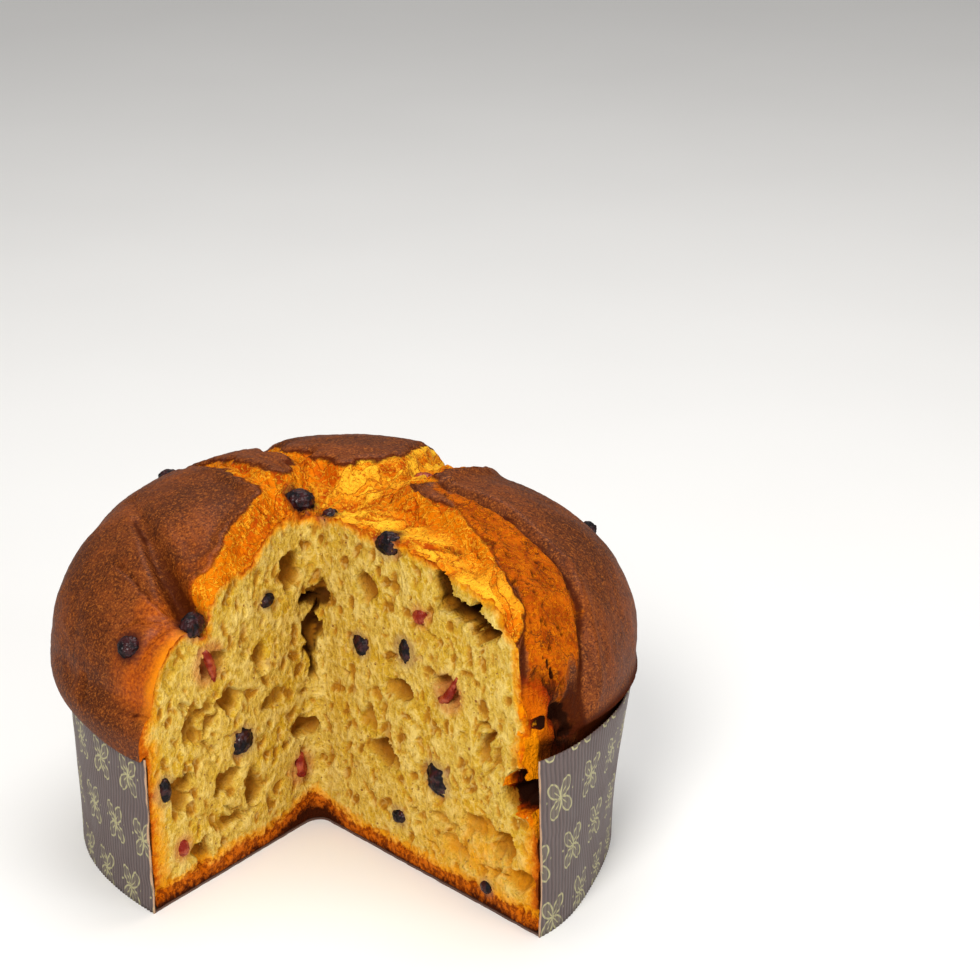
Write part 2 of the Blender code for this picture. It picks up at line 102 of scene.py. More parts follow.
# Torn cross on top: strokes as (x, y, half width, depth) along each arm
TORN_EDGE = 6.0
TORN_ARMS = (
    ((-2, 9, 15, 9.5), (-20, -6, 9, 7.5), (-38, -28, 6.5, 8.0), (-48, -40, 5, 6.5)),
    ((-4, 10, 12, 8.0), (-19, 9, 5.0, 5.0), (-30, 21, 3.6, 4.5), (-41, 38, 3.6, 4.0), (-53, 56, 2.0, 2.0)),
    ((0, 16, 10, 7.0), (-12, 34, 4.0, 5.5), (-24, 53, 4.0, 5.5), (-31, 76, 4.0, 4.5)),
    ((2, 12, 16, 8.0), (26, 22, 11, 6.0), (38, 42, 11, 5.5), (43, 68, 9, 5.0), (52, 82, 3, 3.0)),
    ((0, 6, 18, 9.0), (20, -20, 18, 7.0), (36, -44, 14, 4.5), (50, -66, 4, 2.0)),
)
LIP_RISE = 1.8
LOBE = ((31, 4, 6), (48, -16, 10), (61, -36, 13), (67, -54, 11), (62, -68, 6))
LOBE_DEPTH = 3.4
LOBE_RIDGE = 0.8
CREASE = (
    (-69, 24, 2.5, 1.5), (-65, 4, 3.0, 2.5), (-61, -17, 4.0, 4.5), (-57, -34, 5.5, 7.0), (-50, -44, 5.0, 7.0),
)
SPLIT = ((-70, -50, 2.0, 1.0), (-66, -45, 2.5, 2.0), (-54, -39, 2.0, 1.5))
LEFT_TIP = (-140.0, 38.0, 12.0, 45.0, -10.0)
BACK_FLAP = (86.0, 34.0, 22.0, 42.0, 4.2)
LEFT_FLAP = (146.0, 36.0, 30.0, 60.0, 2.4)
HOLLOWS_AND_SWELLINGS = (
    (-133.0, 15.0, 67.0, 11.0, -10.5), (-50.0, 26.0, 79.0, 9.0, 3.0), (47.0, 17.0, 80.0, 13.0, -3.5),
)
LUMPS = ((31.0, 1.1, 5), (14.0, 0.55, 6))

# Bubbles on the two cut faces: along the cut from the inner corner (left is negative), height,
# width, height of the bubble, lean in degrees and depth. The hole by the ragged corner has a name of
# its own, because its rim has the corner's colours
CORNER_HOLE = (104.0, 47.5, 15.0, 13.0, 0, 14.0)
BUBBLES = (
    (-10.4, 96.7, 10.5, 14.0, 25, 7.0), (3.0, 84.0, 8.0, 9.0, -35, 6.0), (-1.5, 71.0, 6.5, 17.0, 0, 7.0),
    (-51.7, 77.1, 11.5, 8.0, 10, 6.5), (-26.9, 71.4, 8.0, 9.5, 0, 4.5), (-43.6, 61.0, 12.0, 10.0, -20, 6.0),
    (-22.5, 53.5, 10.5, 6.0, 15, 4.5), (-55.4, 62.0, 8.5, 6.5, 20, 4.0), (-6.0, 36.2, 13.0, 8.0, 0, 5.5),
    (-62.4, 58.5, 7.0, 13.5, -30, 4.5), (-47.0, 32.5, 12.0, 9.0, -10, 6.0),
    (-33.1, 23.5, 10.5, 11.0, -35, 6.0), (-70.4, 37.9, 9.5, 13.0, 10, 6.0),
    (-59.2, 10.5, 8.0, 11.0, 15, 5.5), (-43.0, 17.0, 13.0, 4.5, -15, 4.0),
    (64.8, 107.0, 7.5, 10.0, 20, 15.0), (73.0, 102.8, 17.0, 5.5, 20, 13.0), (87.0, 98.5, 16.0, 4.5, 30, 9.0),
    (26.5, 95.1, 9.0, 9.0, 40, 5.5), (44.4, 64.3, 12.0, 8.5, -15, 6.0), (67.5, 73.0, 10.0, 10.0, -15, 6.0),
    (28.4, 47.5, 8.0, 9.0, 10, 5.0), (34.5, 37.6, 12.5, 11.5, 20, 7.0), (86.5, 59.5, 5.0, 15.0, -35, 5.0),
    (95.4, 27.0, 10.0, 11.0, -15, 6.5), (80.0, 27.5, 12.0, 8.5, -20, 3.5), (72.0, 15.5, 14.0, 8.0, 0, 3.5),
    (103.0, 16.0, 9.5, 9.0, 10, 5.0), CORNER_HOLE, (108.0, 71.0, 13.0, 12.0, 0, 9.0),
)
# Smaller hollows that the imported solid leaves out, in the same terms
SMALL_BUBBLES = (
    (-71.8, 80.4, 7.5, 5.0, 10, 1.8), (91.5, 55.5, 3.8, 7.0, -30, 3.5), (77.0, 45.4, 3.0, 3.0, 0, 2.2),
    (64.1, 24.2, 12.0, 3.7, 5, 2.4), (-1.4, 57.0, 4.0, 9.0, 0, 3.0), (-19.5, 80.0, 3.0, 2.6, 0, 2.0),
    (-35.0, 74.5, 4.5, 3.0, 20, 2.2), (14.0, 60.0, 4.0, 3.0, 30, 2.0), (52.0, 54.0, 4.5, 3.0, -20, 2.0),
    (58.5, 88.0, 5.0, 3.0, -30, 2.2), (38.0, 72.0, 4.0, 2.6, 10, 1.8), (-30.0, 41.0, 4.0, 3.0, 40, 2.0),
    (-65.0, 68.0, 5.0, 3.2, -20, 2.2), (-52.0, 46.0, 5.5, 3.0, -50, 2.4), (20.0, 27.0, 4.0, 3.0, 10, 1.8),
    (88.0, 41.0, 5.0, 3.4, -30, 2.4), (76.0, 58.0, 4.5, 2.8, -40, 2.0), (50.0, 22.0, 4.0, 2.6, 15, 1.8),
    (60.0, 12.0, 6.0, 3.0, -10, 2.2), (89.0, 14.0, 6.0, 4.0, 20, 2.6),
)

# Long crevices in the cut faces: (along, height, half width) down each, with a depth
LONG_HOLLOWS = (
    (
        ((62.5, 109.5, 1.4), (65.0, 105.5, 3.2), (69.5, 103.2, 3.6), (79.0, 102.5, 2.8), (90.5, 99.0, 2.0)),
        15.0,
    ),
    (((-4.5, 84.0, 2.2), (1.5, 82.0, 1.3), (-2.5, 76.0, 1.3), (-1.8, 66.0, 1.3), (-1.2, 55.0, 0.7)), 9.0),
    (((93.5, 60.5, 0.7), (91.5, 55.5, 1.8), (88.0, 51.0, 1.1), (84.0, 46.0, 0.5)), 4.0),
    (((79.0, 27.5, 0.6), (86.0, 30.0, 2.0), (94.0, 28.5, 1.4), (98.0, 31.5, 0.6)), 4.0),
    (((66.0, 25.5, 0.6), (72.0, 24.0, 1.4), (76.0, 21.5, 0.7)), 2.6),
    (((88.0, 12.0, 0.8), (93.0, 16.5, 1.8), (99.0, 15.0, 1.0)), 3.6),
    (((-57.0, 52.0, 0.8), (-53.5, 57.0, 2.2), (-49.0, 60.0, 1.0)), 4.0),
    (((-52.0, 40.0, 0.5), (-55.0, 47.0, 1.6), (-60.0, 52.0, 0.8)), 3.4),
    (((-48.0, 24.0, 0.6), (-40.0, 18.5, 1.5), (-31.0, 17.0, 0.7)), 3.0),
)
# Depth past which a long crevice is painted dark inside, as shadow
DARK_DEPTH = 8.0

# How finely the bread is made: points round it, heights of its rings inside the paper, and steps
# between the rings of its dome and between the points of its cut faces
COLUMNS = 440
SIDE_RINGS = (14.0, 24.0, *np.arange(30.0, 62.0, 1.7))
RING_STEP = 1.2
FACE_STEP = 0.66

# How far the cut faces reach along the two cuts, and how far the wedge that is taken out reaches
LEFT_FACE = 90.0
RIGHT_FACE = 117.0
FAR = 150.0
CUT_LOW = -6.0
CUT_HIGH = 128.0
# Where the relief of the cut faces fades out, upwards and along the cuts
FADE_UP = (118.0, 124.0)
FADE_ALONG = (118.0, 140.0)

# Pores: how many, smallest and largest width, and how deep for their width
PORES = 1900
PORE_SIZES = (0.8, 4.4)
PORE_DEPTH = 0.40
# Depth of a pore, in millimetres, at which its colour, partly painted shade, is full
PORE_SHADE = 0.9

# Lattice behind the noise: how many values each way, and how far from its corner it is read
LATTICE = 32
LATTICE_START = 100.0
# Farther away than anything
NOWHERE = 1e9


# Small tools

def wrap(angle):
    """The same angle, between -180 and 180."""
    return (angle + 180.0) % 360.0 - 180.0


def swell(angle, centre, width):
    """A smooth rise to 1 at one side of the loaf, for an angle round the axis."""
    return np.exp(-(wrap(angle - centre) / width) ** 2)


def ease(low, high, x):
    """0 below low, 1 above high and a smooth step between."""
    t = np.clip((x - low) / (high - low), 0.0, 1.0)
    return t * t * (3.0 - 2.0 * t)


def angle_of(x, y):
    return np.degrees(np.arctan2(y, x))


def direction(angle):
    a = np.radians(angle)
    return np.stack([np.cos(a), np.sin(a)], -1)


def noise(points, size, seed):
    """Smooth noise between -1 and 1 from a lattice of random values, in the plane or in space."""
    points = np.asarray(points, float) / size + LATTICE_START
    dims = points.shape[-1]
    table = np.random.default_rng(seed).uniform(-1.0, 1.0, (LATTICE,) * dims)
    cell = np.floor(points).astype(int)
    part = points - cell
    part = part * part * (3.0 - 2.0 * part)
    total = np.zeros(points.shape[:-1])
    for corner in np.ndindex(*(2,) * dims):
        weight = np.ones(points.shape[:-1])
        index = []
        for axis in range(dims):
            weight = weight * (part[..., axis] if corner[axis] else 1.0 - part[..., axis])
            index.append((cell[..., axis] + corner[axis]) % LATTICE)
        total += weight * table[tuple(index)]
    return total


def ridged(points, size, seed):
    """Noise with sharp ridges, between -1 and 1."""
    return 1.0 - 2.0 * np.abs(noise(points, size, seed)) ** 0.8


def warped(points, size, amount, seed):
    """Points pushed about, so that what is drawn at them wanders."""
    shift = [noise(points, size, seed + axis) for axis in range(points.shape[-1])]
    return points + amount * np.stack(shift, -1)


def line_away(points, line):
    """Distance of points in space from a bent line."""
    best = np.full(len(points), NOWHERE)
    for a, b in zip(line, line[1:]):
        a, b = np.array(a), np.array(b)
        step = b - a
        t = np.clip((points - a) @ step / (step @ step), 0.0, 1.0)
        best = np.minimum(best, np.linalg.norm(points - a - t[:, None] * step, axis=1))
    return best


def stroke(x, y, points):
    """Distance outside a tapering stroke (negative inside) and its other values, blended along it."""
    best = np.full(np.shape(x), NOWHERE)
    value = np.zeros(np.shape(x))
    for a, b in zip(points, points[1:]):
        ax, ay, bx, by = a[0], a[1], b[0], b[1]
        length = (bx - ax) ** 2 + (by - ay) ** 2
        t = np.clip(((x - ax) * (bx - ax) + (y - ay) * (by - ay)) / length, 0.0, 1.0)
        away = np.hypot(x - ax - t * (bx - ax), y - ay - t * (by - ay))
        away = away - a[2] - t * (b[2] - a[2])
        near = away < best
        best = np.where(near, away, best)
        value = np.where(near, a[-1] + t * (b[-1] - a[-1]), value)
    return best, value


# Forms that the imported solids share

def stretched(angle, stretches):
    """How far a round edge stands out of true at an angle."""
    return sum(amount * swell(angle, middle, width) for middle, width, amount in stretches)


def case_radius(angle, z):
    """Outer radius of the paper, sprung out at the right of the cut and pressed in at the left."""
    foot = CASE_FOOT + stretched(angle, FOOT_STRETCHES)
    rim = CASE_RIM + stretched(angle, RIM_STRETCHES)
    return foot + (rim - foot) * np.clip(z / CASE_HEIGHT, 0.0, 1.05) ** SIDE_CURVE


def side_radius(angle, z):
    """Radius of the bread inside the paper, which it leaves near the top at the right."""
    shrink = stretched(angle, (SHRINK,)) * ease(SHRINK_START, CASE_HEIGHT, z)
    return case_radius(angle, z) - PAPER - GAP - shrink


def paper_top(angle):
    """Height of the paper's edge, which the crust has pressed down at the left of the cut."""
    return CASE_HEIGHT - stretched(angle, (PRESSED_PAPER,))


def bulge_radius(angle):
    """Widest radius of the crust above the paper."""
    return BULGE_RADIUS + stretched(angle, BULGE_STRETCHES)


def dome_height(x, y):
    """Height of the plain dome over a point of the plan."""
    part = np.clip(np.hypot(x, y) / bulge_radius(angle_of(x, y)), 0.0, 1.0)
    return BULGE_HEIGHT + DOME_RISE * np.sqrt(1.0 - part ** DOME_SHAPE)


def tipped(x, y, flap):
    """Rise of a flap that tips more and more away from the middle."""
    middle, width, start, whole, rise = flap
    return rise * swell(angle_of(x, y), middle, width) * ease(start, whole, np.hypot(x, y))


def bumped(x, y, spot):
    """Rise of one round swelling or hollow of the crust."""
    middle, width, radius, across, rise = spot
    return rise * swell(angle_of(x, y), middle, width) * np.exp(-((np.hypot(x, y) - radius) / across) ** 2)


def shoulder(x, y):
    """How far the crust sinks beside the left cut, and its broad hollows and swellings."""
    outer = ease(78.0, 95.0, np.hypot(x, y))
    tip = tipped(x, y, LEFT_TIP) * (1.0 - 0.4 * outer)
    return tip + sum(bumped(x, y, spot) for spot in HOLLOWS_AND_SWELLINGS)


def raggedness(x, y):
    """How far a torn edge wanders."""
    plan = np.stack([x, y], -1)
    return 2.4 * noise(plan, 8.5, 20) + 1.7 * noise(plan, 4.6, 21) + 0.5 * noise(plan, 2.4, 22)


def torn(x, y):
    """Distance outside the torn cross, with its ragged edge, and how deep it lies at each point."""
    away = np.full(np.shape(x), NOWHERE)
    depth = np.zeros(np.shape(x))
    ragged = raggedness(x, y)
    for arm in TORN_ARMS:
        outside, deep = stroke(x, y, arm)
        outside = outside + ragged
        away = np.minimum(away, outside)
        depth = np.maximum(depth, deep * ease(0.0, TORN_EDGE, -outside))
    return away, depth


def strands(x, y):
    """Stretched threads of crumb in the torn cross: some run out from the middle, some along its edges."""
    plan = warped(np.stack([x, y], -1), 9.0, 3.0, 34)
    dx, dy = plan[..., 0] - APEX[0], plan[..., 1] - APEX[1] + 2.0
    radius = np.hypot(dx, dy)
    turn = np.arctan2(dy, dx)
    out = noise(np.stack([turn * 20.0, radius / 5.0], -1), 1.5, 32)
    away = np.min([stroke(plan[..., 0], plan[..., 1], arm)[0] for arm in TORN_ARMS], axis=0)
    beside = ridged(np.stack([away / 1.5, turn * 5.0], -1), 1.6, 33)
    edge = ease(-9.0, -3.0, away)
    return out * (1.0 - edge) + beside * edge


def cracks(points):
    """Thin cracks in torn dough: 1 in a crack and 0 elsewhere."""
    plan = warped(points, 5.0, 2.2, 36)
    thin = ease(0.80, 0.97, ridged(plan, 8.0, 39)) * ease(-0.2, 0.3, noise(points, 12.0, 40))
    finer = ease(0.82, 0.98, ridged(plan, 4.2, 46)) * ease(0.0, 0.4, noise(points, 9.0, 47))
    return np.maximum(thin, finer)


def crust_relief(x, y):
    """How far the crust stands above the plain dome: flaps, torn cross, lobe, crease and lumps."""
    away, depth = torn(x, y)
    rise = shoulder(x, y) - depth + LIP_RISE * np.exp(-((away - 2.2) / 2.2) ** 2)
    outer = ease(82.0, 99.0, np.hypot(x, y))
    lifted = tipped(x, y, BACK_FLAP) + tipped(x, y, LEFT_FLAP)
    rise = rise + lifted * (1.0 - outer) * ease(0.0, 7.0, away)
    outside = stroke(x, y, LOBE)[0]
    groove = LOBE_DEPTH * np.exp(-(outside / 2.3) ** 2) - LOBE_RIDGE * np.exp(-((outside - 3.6) / 1.8) ** 2)
    rise = rise - groove * ease(-1.0, 4.0, away)
    for line in (CREASE, SPLIT):
        outside, deep = stroke(x, y, line)
        rise = rise - deep * ease(-1.5, 4.0, -outside)
    for across, height, seed in LUMPS:
        rise = rise + height * noise(np.stack([x, y], -1), across, seed)
    return rise


# Meshes

def grid_faces(rows, columns, closed):
    """Quads of a grid of points, row by row, with the last column joined to the first if closed."""
    i, j = np.meshgrid(np.arange(rows - 1), np.arange(columns if closed else columns - 1), indexing="ij")
    k = (j + 1) % columns
    quads = np.stack([i * columns + j, i * columns + k, (i + 1) * columns + k, (i + 1) * columns + j], -1)
    return [tuple(q) for q in quads.reshape(-1, 4).tolist()]


def new_object(name, data):
    """An object in the scene with this mesh, lamp or lens."""
    obj = bpy.data.objects.new(name, data)
    bpy.context.scene.collection.objects.link(obj)
    return obj


def make_object(name, points, faces, material):
    """An object from points in millimetres, its faces turned outwards."""
    mesh = bpy.data.meshes.new(name)
    mesh.from_pydata((np.asarray(points) * MM).tolist(), [], faces)
    work = bmesh.new()
    work.from_mesh(mesh)
    bmesh.ops.recalc_face_normals(work, faces=work.faces)
    work.to_mesh(mesh)
    work.free()
    mesh.materials.append(material)
    return new_object(name, mesh)


def applied(obj):
    """Turn an object's modifiers into its plain mesh."""
    bpy.context.view_layer.update()
    seen = obj.evaluated_get(bpy.context.evaluated_depsgraph_get())
    mesh = bpy.data.meshes.new_from_object(seen)
    obj.modifiers.clear()
    obj.data = mesh
    return obj


def points_of(mesh):
    """A mesh's points in millimetres."""
    flat = np.zeros(len(mesh.vertices) * 3, np.float32)
    mesh.vertices.foreach_get("co", flat)
    return flat.reshape(-1, 3).astype(float) / MM


def set_points(mesh, points):
    mesh.vertices.foreach_set("co", (points * MM).astype(np.float32).ravel())
    mesh.update()


def mark(mesh, **numbers):
    """Store numbers at each point of a mesh by name, for a material to read."""
    for name, values in numbers.items():
        layer = mesh.attributes.get(name) or mesh.attributes.new(name, "FLOAT", "POINT")
        layer.data.foreach_set("value", np.broadcast_to(values, len(mesh.vertices)).astype(np.float32))


def marked(mesh, name):
    """The numbers that are stored under a name."""
    values = np.zeros(len(mesh.vertices), np.float32)
    mesh.attributes[name].data.foreach_get("value", values)
    return values


def settle(piece, slot, *nodes):
    """Say what a finished piece rides on and stands for; the slot it is given is not used."""
    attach(piece, BODY)
    if nodes:
        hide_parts(*nodes)
    return piece


# Node trees

class Value:
    """A socket in a node tree. Arithmetic on it adds Math nodes."""

    def __init__(self, tree, socket):
        self.tree = tree
        self.socket = socket

    def __add__(self, other):
        return self.tree.math("ADD", self, other)

    __radd__ = __add__

    def __sub__(self, other):
        return self.tree.math("SUBTRACT", self, other)

    def __rsub__(self, other):
        return self.tree.math("SUBTRACT", other, self)

    def __mul__(self, other):
        return self.tree.math("MULTIPLY", self, other)

    __rmul__ = __mul__

    def __truediv__(self, other):
        return self.tree.math("DIVIDE", self, other)

    def __rtruediv__(self, other):
        return self.tree.math("DIVIDE", other, self)


class Tree:
    """A node tree that is written as expressions."""

    def __init__(self, tree):
        self.tree = tree

    def node(self, kind, settings=None, sockets=None, output=0):
        """Add a node: its settings first, then the values or links of its sockets."""
        made = self.tree.nodes.new(kind)
        for name, value in (settings or {}).items():
            setattr(made, name, value)
        for name, value in (sockets or {}).items():
            self.feed(made.inputs[name], value)
        return Value(self, made.outputs[output])

    def feed(self, socket, value):
        if isinstance(value, Value):
            self.tree.links.new(value.socket, socket)
        else:
            socket.default_value = value

    def math(self, operation, *values):
        return self.node("ShaderNodeMath", {"operation": operation}, dict(enumerate(values)))

    def most(self, first, *others):
        """The largest of some values."""
        for other in others:
            first = self.math("MAXIMUM", first, other)
        return first

    def soft(self, low, high, value):
        """0 below low, 1 above high and a smooth step between; low may be above high."""
        ends = {"Value": value, "From Min": low, "From Max": high}
        return self.node("ShaderNodeMapRange", {"interpolation_type": "SMOOTHSTEP"}, ends)

    def mix(self, factor, a, b):
        """A blend of two colours."""
        return self.node("ShaderNodeMix", {"data_type": "RGBA"}, {0: factor, 6: a, 7: b}, 2)

    def layers(self, colour, *coats):
        """A colour with others laid over it in turn, each as (how much of it, colour)."""
        for share, coat in coats:
            colour = self.mix(share, colour, coat)
        return colour

    def spot(self):
        """A point of the surface in the object's own metres."""
        return self.node("ShaderNodeTexCoord", output="Object")

    def scaled(self, vector, factors):
        return self.node("ShaderNodeVectorMath", {"operation": "MULTIPLY"}, {0: vector, 1: factors})

    def noise(self, vector, scale, detail=2.0, roughness=0.5):
        sockets = {"Vector": vector, "Scale": scale, "Detail": detail, "Roughness": roughness}
        return self.node("ShaderNodeTexNoise", sockets=sockets)

    def loosened(self, vector, scale, amount):
        """A place pushed about by noise, so that what is drawn there wanders."""
        shift = self.node("ShaderNodeTexNoise", sockets={"Vector": vector, "Scale": scale}, output="Color")
        ends = {0: shift, 1: (amount,) * 3, 2: (-0.5 * amount,) * 3}
        centred = self.node("ShaderNodeVectorMath", {"operation": "MULTIPLY_ADD"}, ends)
        return self.node("ShaderNodeVectorMath", {"operation": "ADD"}, {0: vector, 1: centred})

    def cells(self, vector, scale):
        """Distance from the middle of the nearest of many small cells."""
        sockets = {"Vector": vector, "Scale": scale}
        return self.node("ShaderNodeTexVoronoi", sockets=sockets, output="Distance")

    def line(self, noise, width):
        """1 on the thin lines where a noise crosses its middle, and 0 elsewhere."""
        return self.soft(width, width * 0.25, self.math("ABSOLUTE", noise - 0.5))

    def marks(self, *names):
        """The numbers that the mesh carries under these names."""
        return [self.node("ShaderNodeAttribute", {"attribute_name": name}, output="Fac") for name in names]

    def ribs(self, place, around, pitch):
        """Upright waves round the paper, from -1 to 1."""
        wander = self.noise(self.scaled(place, (1.0, 1.0, 0.08)), 30.0, 1.0) * 0.25
        return self.math("SINE", (around / pitch + wander) * (2.0 * math.pi))

    def bump(self, height, distance, strength=1.0):
        sockets = {"Height": height, "Distance": distance, "Strength": strength}
        return self.node("ShaderNodeBump", sockets=sockets, output="Normal")


class Finish(Tree):
    """A material with one Principled shader."""

    def __init__(self, name, roughness, **fixed):
        self.material = bpy.data.materials.new(name)
        self.material.use_nodes = True
        super().__init__(self.material.node_tree)
        self.shader = self.tree.nodes["Principled BSDF"]
        self.shader.inputs["Roughness"].default_value = roughness
        for socket, value in fixed.items():
            self.shader.inputs[socket.replace("_", " ")].default_value = value

    def show(self, **links):
        """The material, with these values on its shader's sockets."""
        for socket, value in links.items():
            self.feed(self.shader.inputs[socket.replace("_", " ")], value)
        return self.material


def rgb(red, green, blue):
    """A colour from the 0 to 255 values of a screen."""
    parts = []
    for value in (red, green, blue):
        share = value / 255.0
        parts.append(share / 12.92 if share <= 0.04045 else ((share + 0.055) / 1.055) ** 2.4)
    return (*parts, 1.0)


# Crust

SKIN_DARK = rgb(80, 36, 10)
SKIN = rgb(122, 58, 18)
SKIN_FLECK = rgb(168, 94, 32)
SKIN_PIT = rgb(46, 16, 3)
WARM = rgb(194, 92, 2)
RUST = rgb(146, 58, 1)
TORN_RED = rgb(146, 46, 1)
TORN_ORANGE = rgb(196, 84, 1)
TORN_GOLD = rgb(228, 132, 2)
TORN_PALE = rgb(246, 186, 44)
TORN_EDGE_BROWN = rgb(72, 22, 3)
# Dark red-brown: the ragged corner's own dough, and also painted shade in creases, over the rim and in
# hollows
CORNER_DARK = rgb(62, 20, 3)
# Painted shadow of splits and deep hollows
CREVICE_SHADOW = rgb(30, 9, 2)
STAIN = rgb(52, 22, 22)

# Where the torn crumb is palest, as (x, y, half width)
GOLD_RUNS = (
    ((-1, 13, 6), (14, 28, 9), (28, 38, 9), (40, 64, 7)),
    ((2, 4, 4), (18, -16, 4.5), (34, -38, 4.0), (46, -58, 3.0)),
)
# Where the foot of the crust over the paper is painted dark, as shade: angle and width
RIM_SHADE = (-28.0, 48.0)
# Deep split in the right corner, as a line in space
CREVICE = (
    (63.0, -66.5, 92.0), (65.0, -67.0, 88.0), (68.0, -65.0, 80.0), (70.0, -65.0, 73.0), (73.0, -62.0, 66.0),
)
# Small creases in the crust at the left of the cut, each a line with its half width
GROOVES = (
    (((-84.0, -30.5, 74.0), (-84.4, -33.5, 71.0), (-84.0, -36.2, 68.0)), 0.9),
    (((-71.0, -49.0, 69.0), (-67.6, -51.6, 69.7), (-64.9, -53.6, 70.2), (-61.5, -55.9, 71.0)), 0.9),
    (((-66.9, 5.6, 112.9), (-62.2, -11.2, 109.1), (-58.8, -20.7, 103.5), (-52.5, -29.0, 95.4)), 1.7),
    (((-55.5, -26.0, 98.3), (-51.9, -29.0, 94.9)), 2.8),
    (((-73.8, -12.1, 105.1), (-67.5, -20.5, 103.6), (-60.8, -30.0, 99.4), (-55.6, -33.6, 95.7)), 0.8),
    (((-71.1, -33.6, 91.8), (-64.5, -35.0, 94.7), (-59.6, -36.7, 95.4), (-55.1, -37.4, 94.5)), 0.9),
)
# How deep they are
GROOVE_DEPTH = 1.6
# Ochre side of the loaf that the right flap has left behind
RUST_RUN = ((34, 2, 3), (48, -16, 9), (60, -36, 12), (66, -54, 10), (62, -68, 6))
# Lowest and highest that the folds of the ragged corner stand
FOLD_REACH = (-6.5, 1.7)
# Depth of the finest relief of crust and crumb, which the finishes add, in metres
FINE_RELIEF = 0.0011


def corner(points):
    """1 in the ragged corner at the right of the cut, which the paper leaves bare, and 0 elsewhere."""
    behind, along = behind_cut(points)
    z = points[:, 2]
    near = (1.0 - ease(15.0, 29.0, behind + 0.35 * (z - 66.0))) * ease(60.0, 80.0, along)
    return near * ease(28.0, 42.0, z) * (1.0 - ease(82.0, 94.0, z))


def crevice(points):
    """1 in the deep split of the right corner, which widens downwards, and 0 elsewhere."""
    spot = warped(points, 4.0, 1.8, 97)
    wide = 1.2 + 1.5 * ease(86.0, 70.0, points[:, 2])
    return np.exp(-(line_away(spot, CREVICE) / wide) ** 2)


def torn_side(points):
    """How far a point lies from the deep split towards the cut: 0 at the split and 1 near the cut."""
    behind = behind_cut(points)[0]
    split = 10.0 + 0.4 * (92.0 - points[:, 2]) + 1.6 * noise(points, 5.0, 98)
    return (split - behind) / 12.0


def corner_folds(points):
    """Ragged folds of the right corner: positive on a fold and negative in a hollow."""
    spot = warped(points * np.array([1.0, 1.0, 0.3]), 5.0, 1.8, 90)
    folds = 0.75 * ridged(spot, 4.4, 94) + 0.5 * ridged(spot, 2.0, 95)
    return folds - 3.6 * crevice(points) - 1.7 * ease(-0.05, 0.3, torn_side(points))


def grooves(points):
    """1 in the creases of the crust and 0 elsewhere."""
    spot = warped(points, 3.5, 0.8, 99)
    return np.exp(-np.min([line_away(spot, line) / width for line, width in GROOVES], axis=0) ** 2)


def fine_crust(points, away):
    """Fine relief of the crust: crumpled where it has torn, soft dimples and pits elsewhere."""
    x, y, z = points.T
    inside = 1.0 - ease(-1.5, 1.0, away)
    high = ease(BULGE_HEIGHT - 4.0, BULGE_HEIGHT + 12.0, z)
    spot = warped(points, 6.0, 2.4, 48)
    crumple = 0.90 * ridged(spot, 6.5, 49) + 0.42 * ridged(spot, 2.9, 50) + 0.20 * noise(spot, 1.5, 56)
    rise = inside * high * (1.15 * crumple + 0.9 * strands(x, y) - 1.4 * cracks(points))
    rust = (1.0 - ease(-3.0, 2.0, stroke(x, y, RUST_RUN)[0] + raggedness(x, y))) * (1.0 - inside)
    rise += rust * high * (0.55 * crumple + 0.25 * noise(points, 1.9, 41) - 0.9 * cracks(points))
    rise += (1.0 - inside) * (0.16 * noise(points, 3.2, 43) + 0.13 * noise(points, 1.5, 44))
    return rise + 0.35 * noise(points, 11.0, 45) * high


def crust_moved(points):
    """Points of the dome, moved along its normal by the relief of the crust."""
    x, y, z = points.T
    rise = crust_relief(x, y) * ease(BULGE_HEIGHT - 8.0, BULGE_HEIGHT + 6.0, z)
    rise += fine_crust(points, torn(x, y)[0]) * ease(CASE_HEIGHT - 1.0, CASE_HEIGHT + 4.0, z)
    rise += corner(points) * np.clip(1.7 * corner_folds(points), *FOLD_REACH)
    steep = np.clip((z - BULGE_HEIGHT) / DOME_RISE, 0.0, 1.0)
    out = np.column_stack([x, y, 0.0 * z]) / BULGE_RADIUS
    out[:, 2] = 0.35 + 1.6 * steep
    out /= np.linalg.norm(out, axis=1)[:, None]
    moved = points + out * rise[:, None]
    return moved - out * GROOVE_DEPTH * grooves(moved)[:, None]


def dome_turns():
    """Turns along the dome's profile, from its widest ring up, that space the rings evenly."""
    turn = np.linspace(0.0, np.pi / 2.0, 2000)
    radius = BULGE_RADIUS * np.cos(turn) ** (2.0 / DOME_SHAPE)
    step = np.hypot(np.diff(radius), np.diff(DOME_RISE * np.sin(turn)))
    length = np.concatenate([[0.0], np.cumsum(step)])
    return np.interp(np.arange(0.0, length[-1], RING_STEP), length, turn)


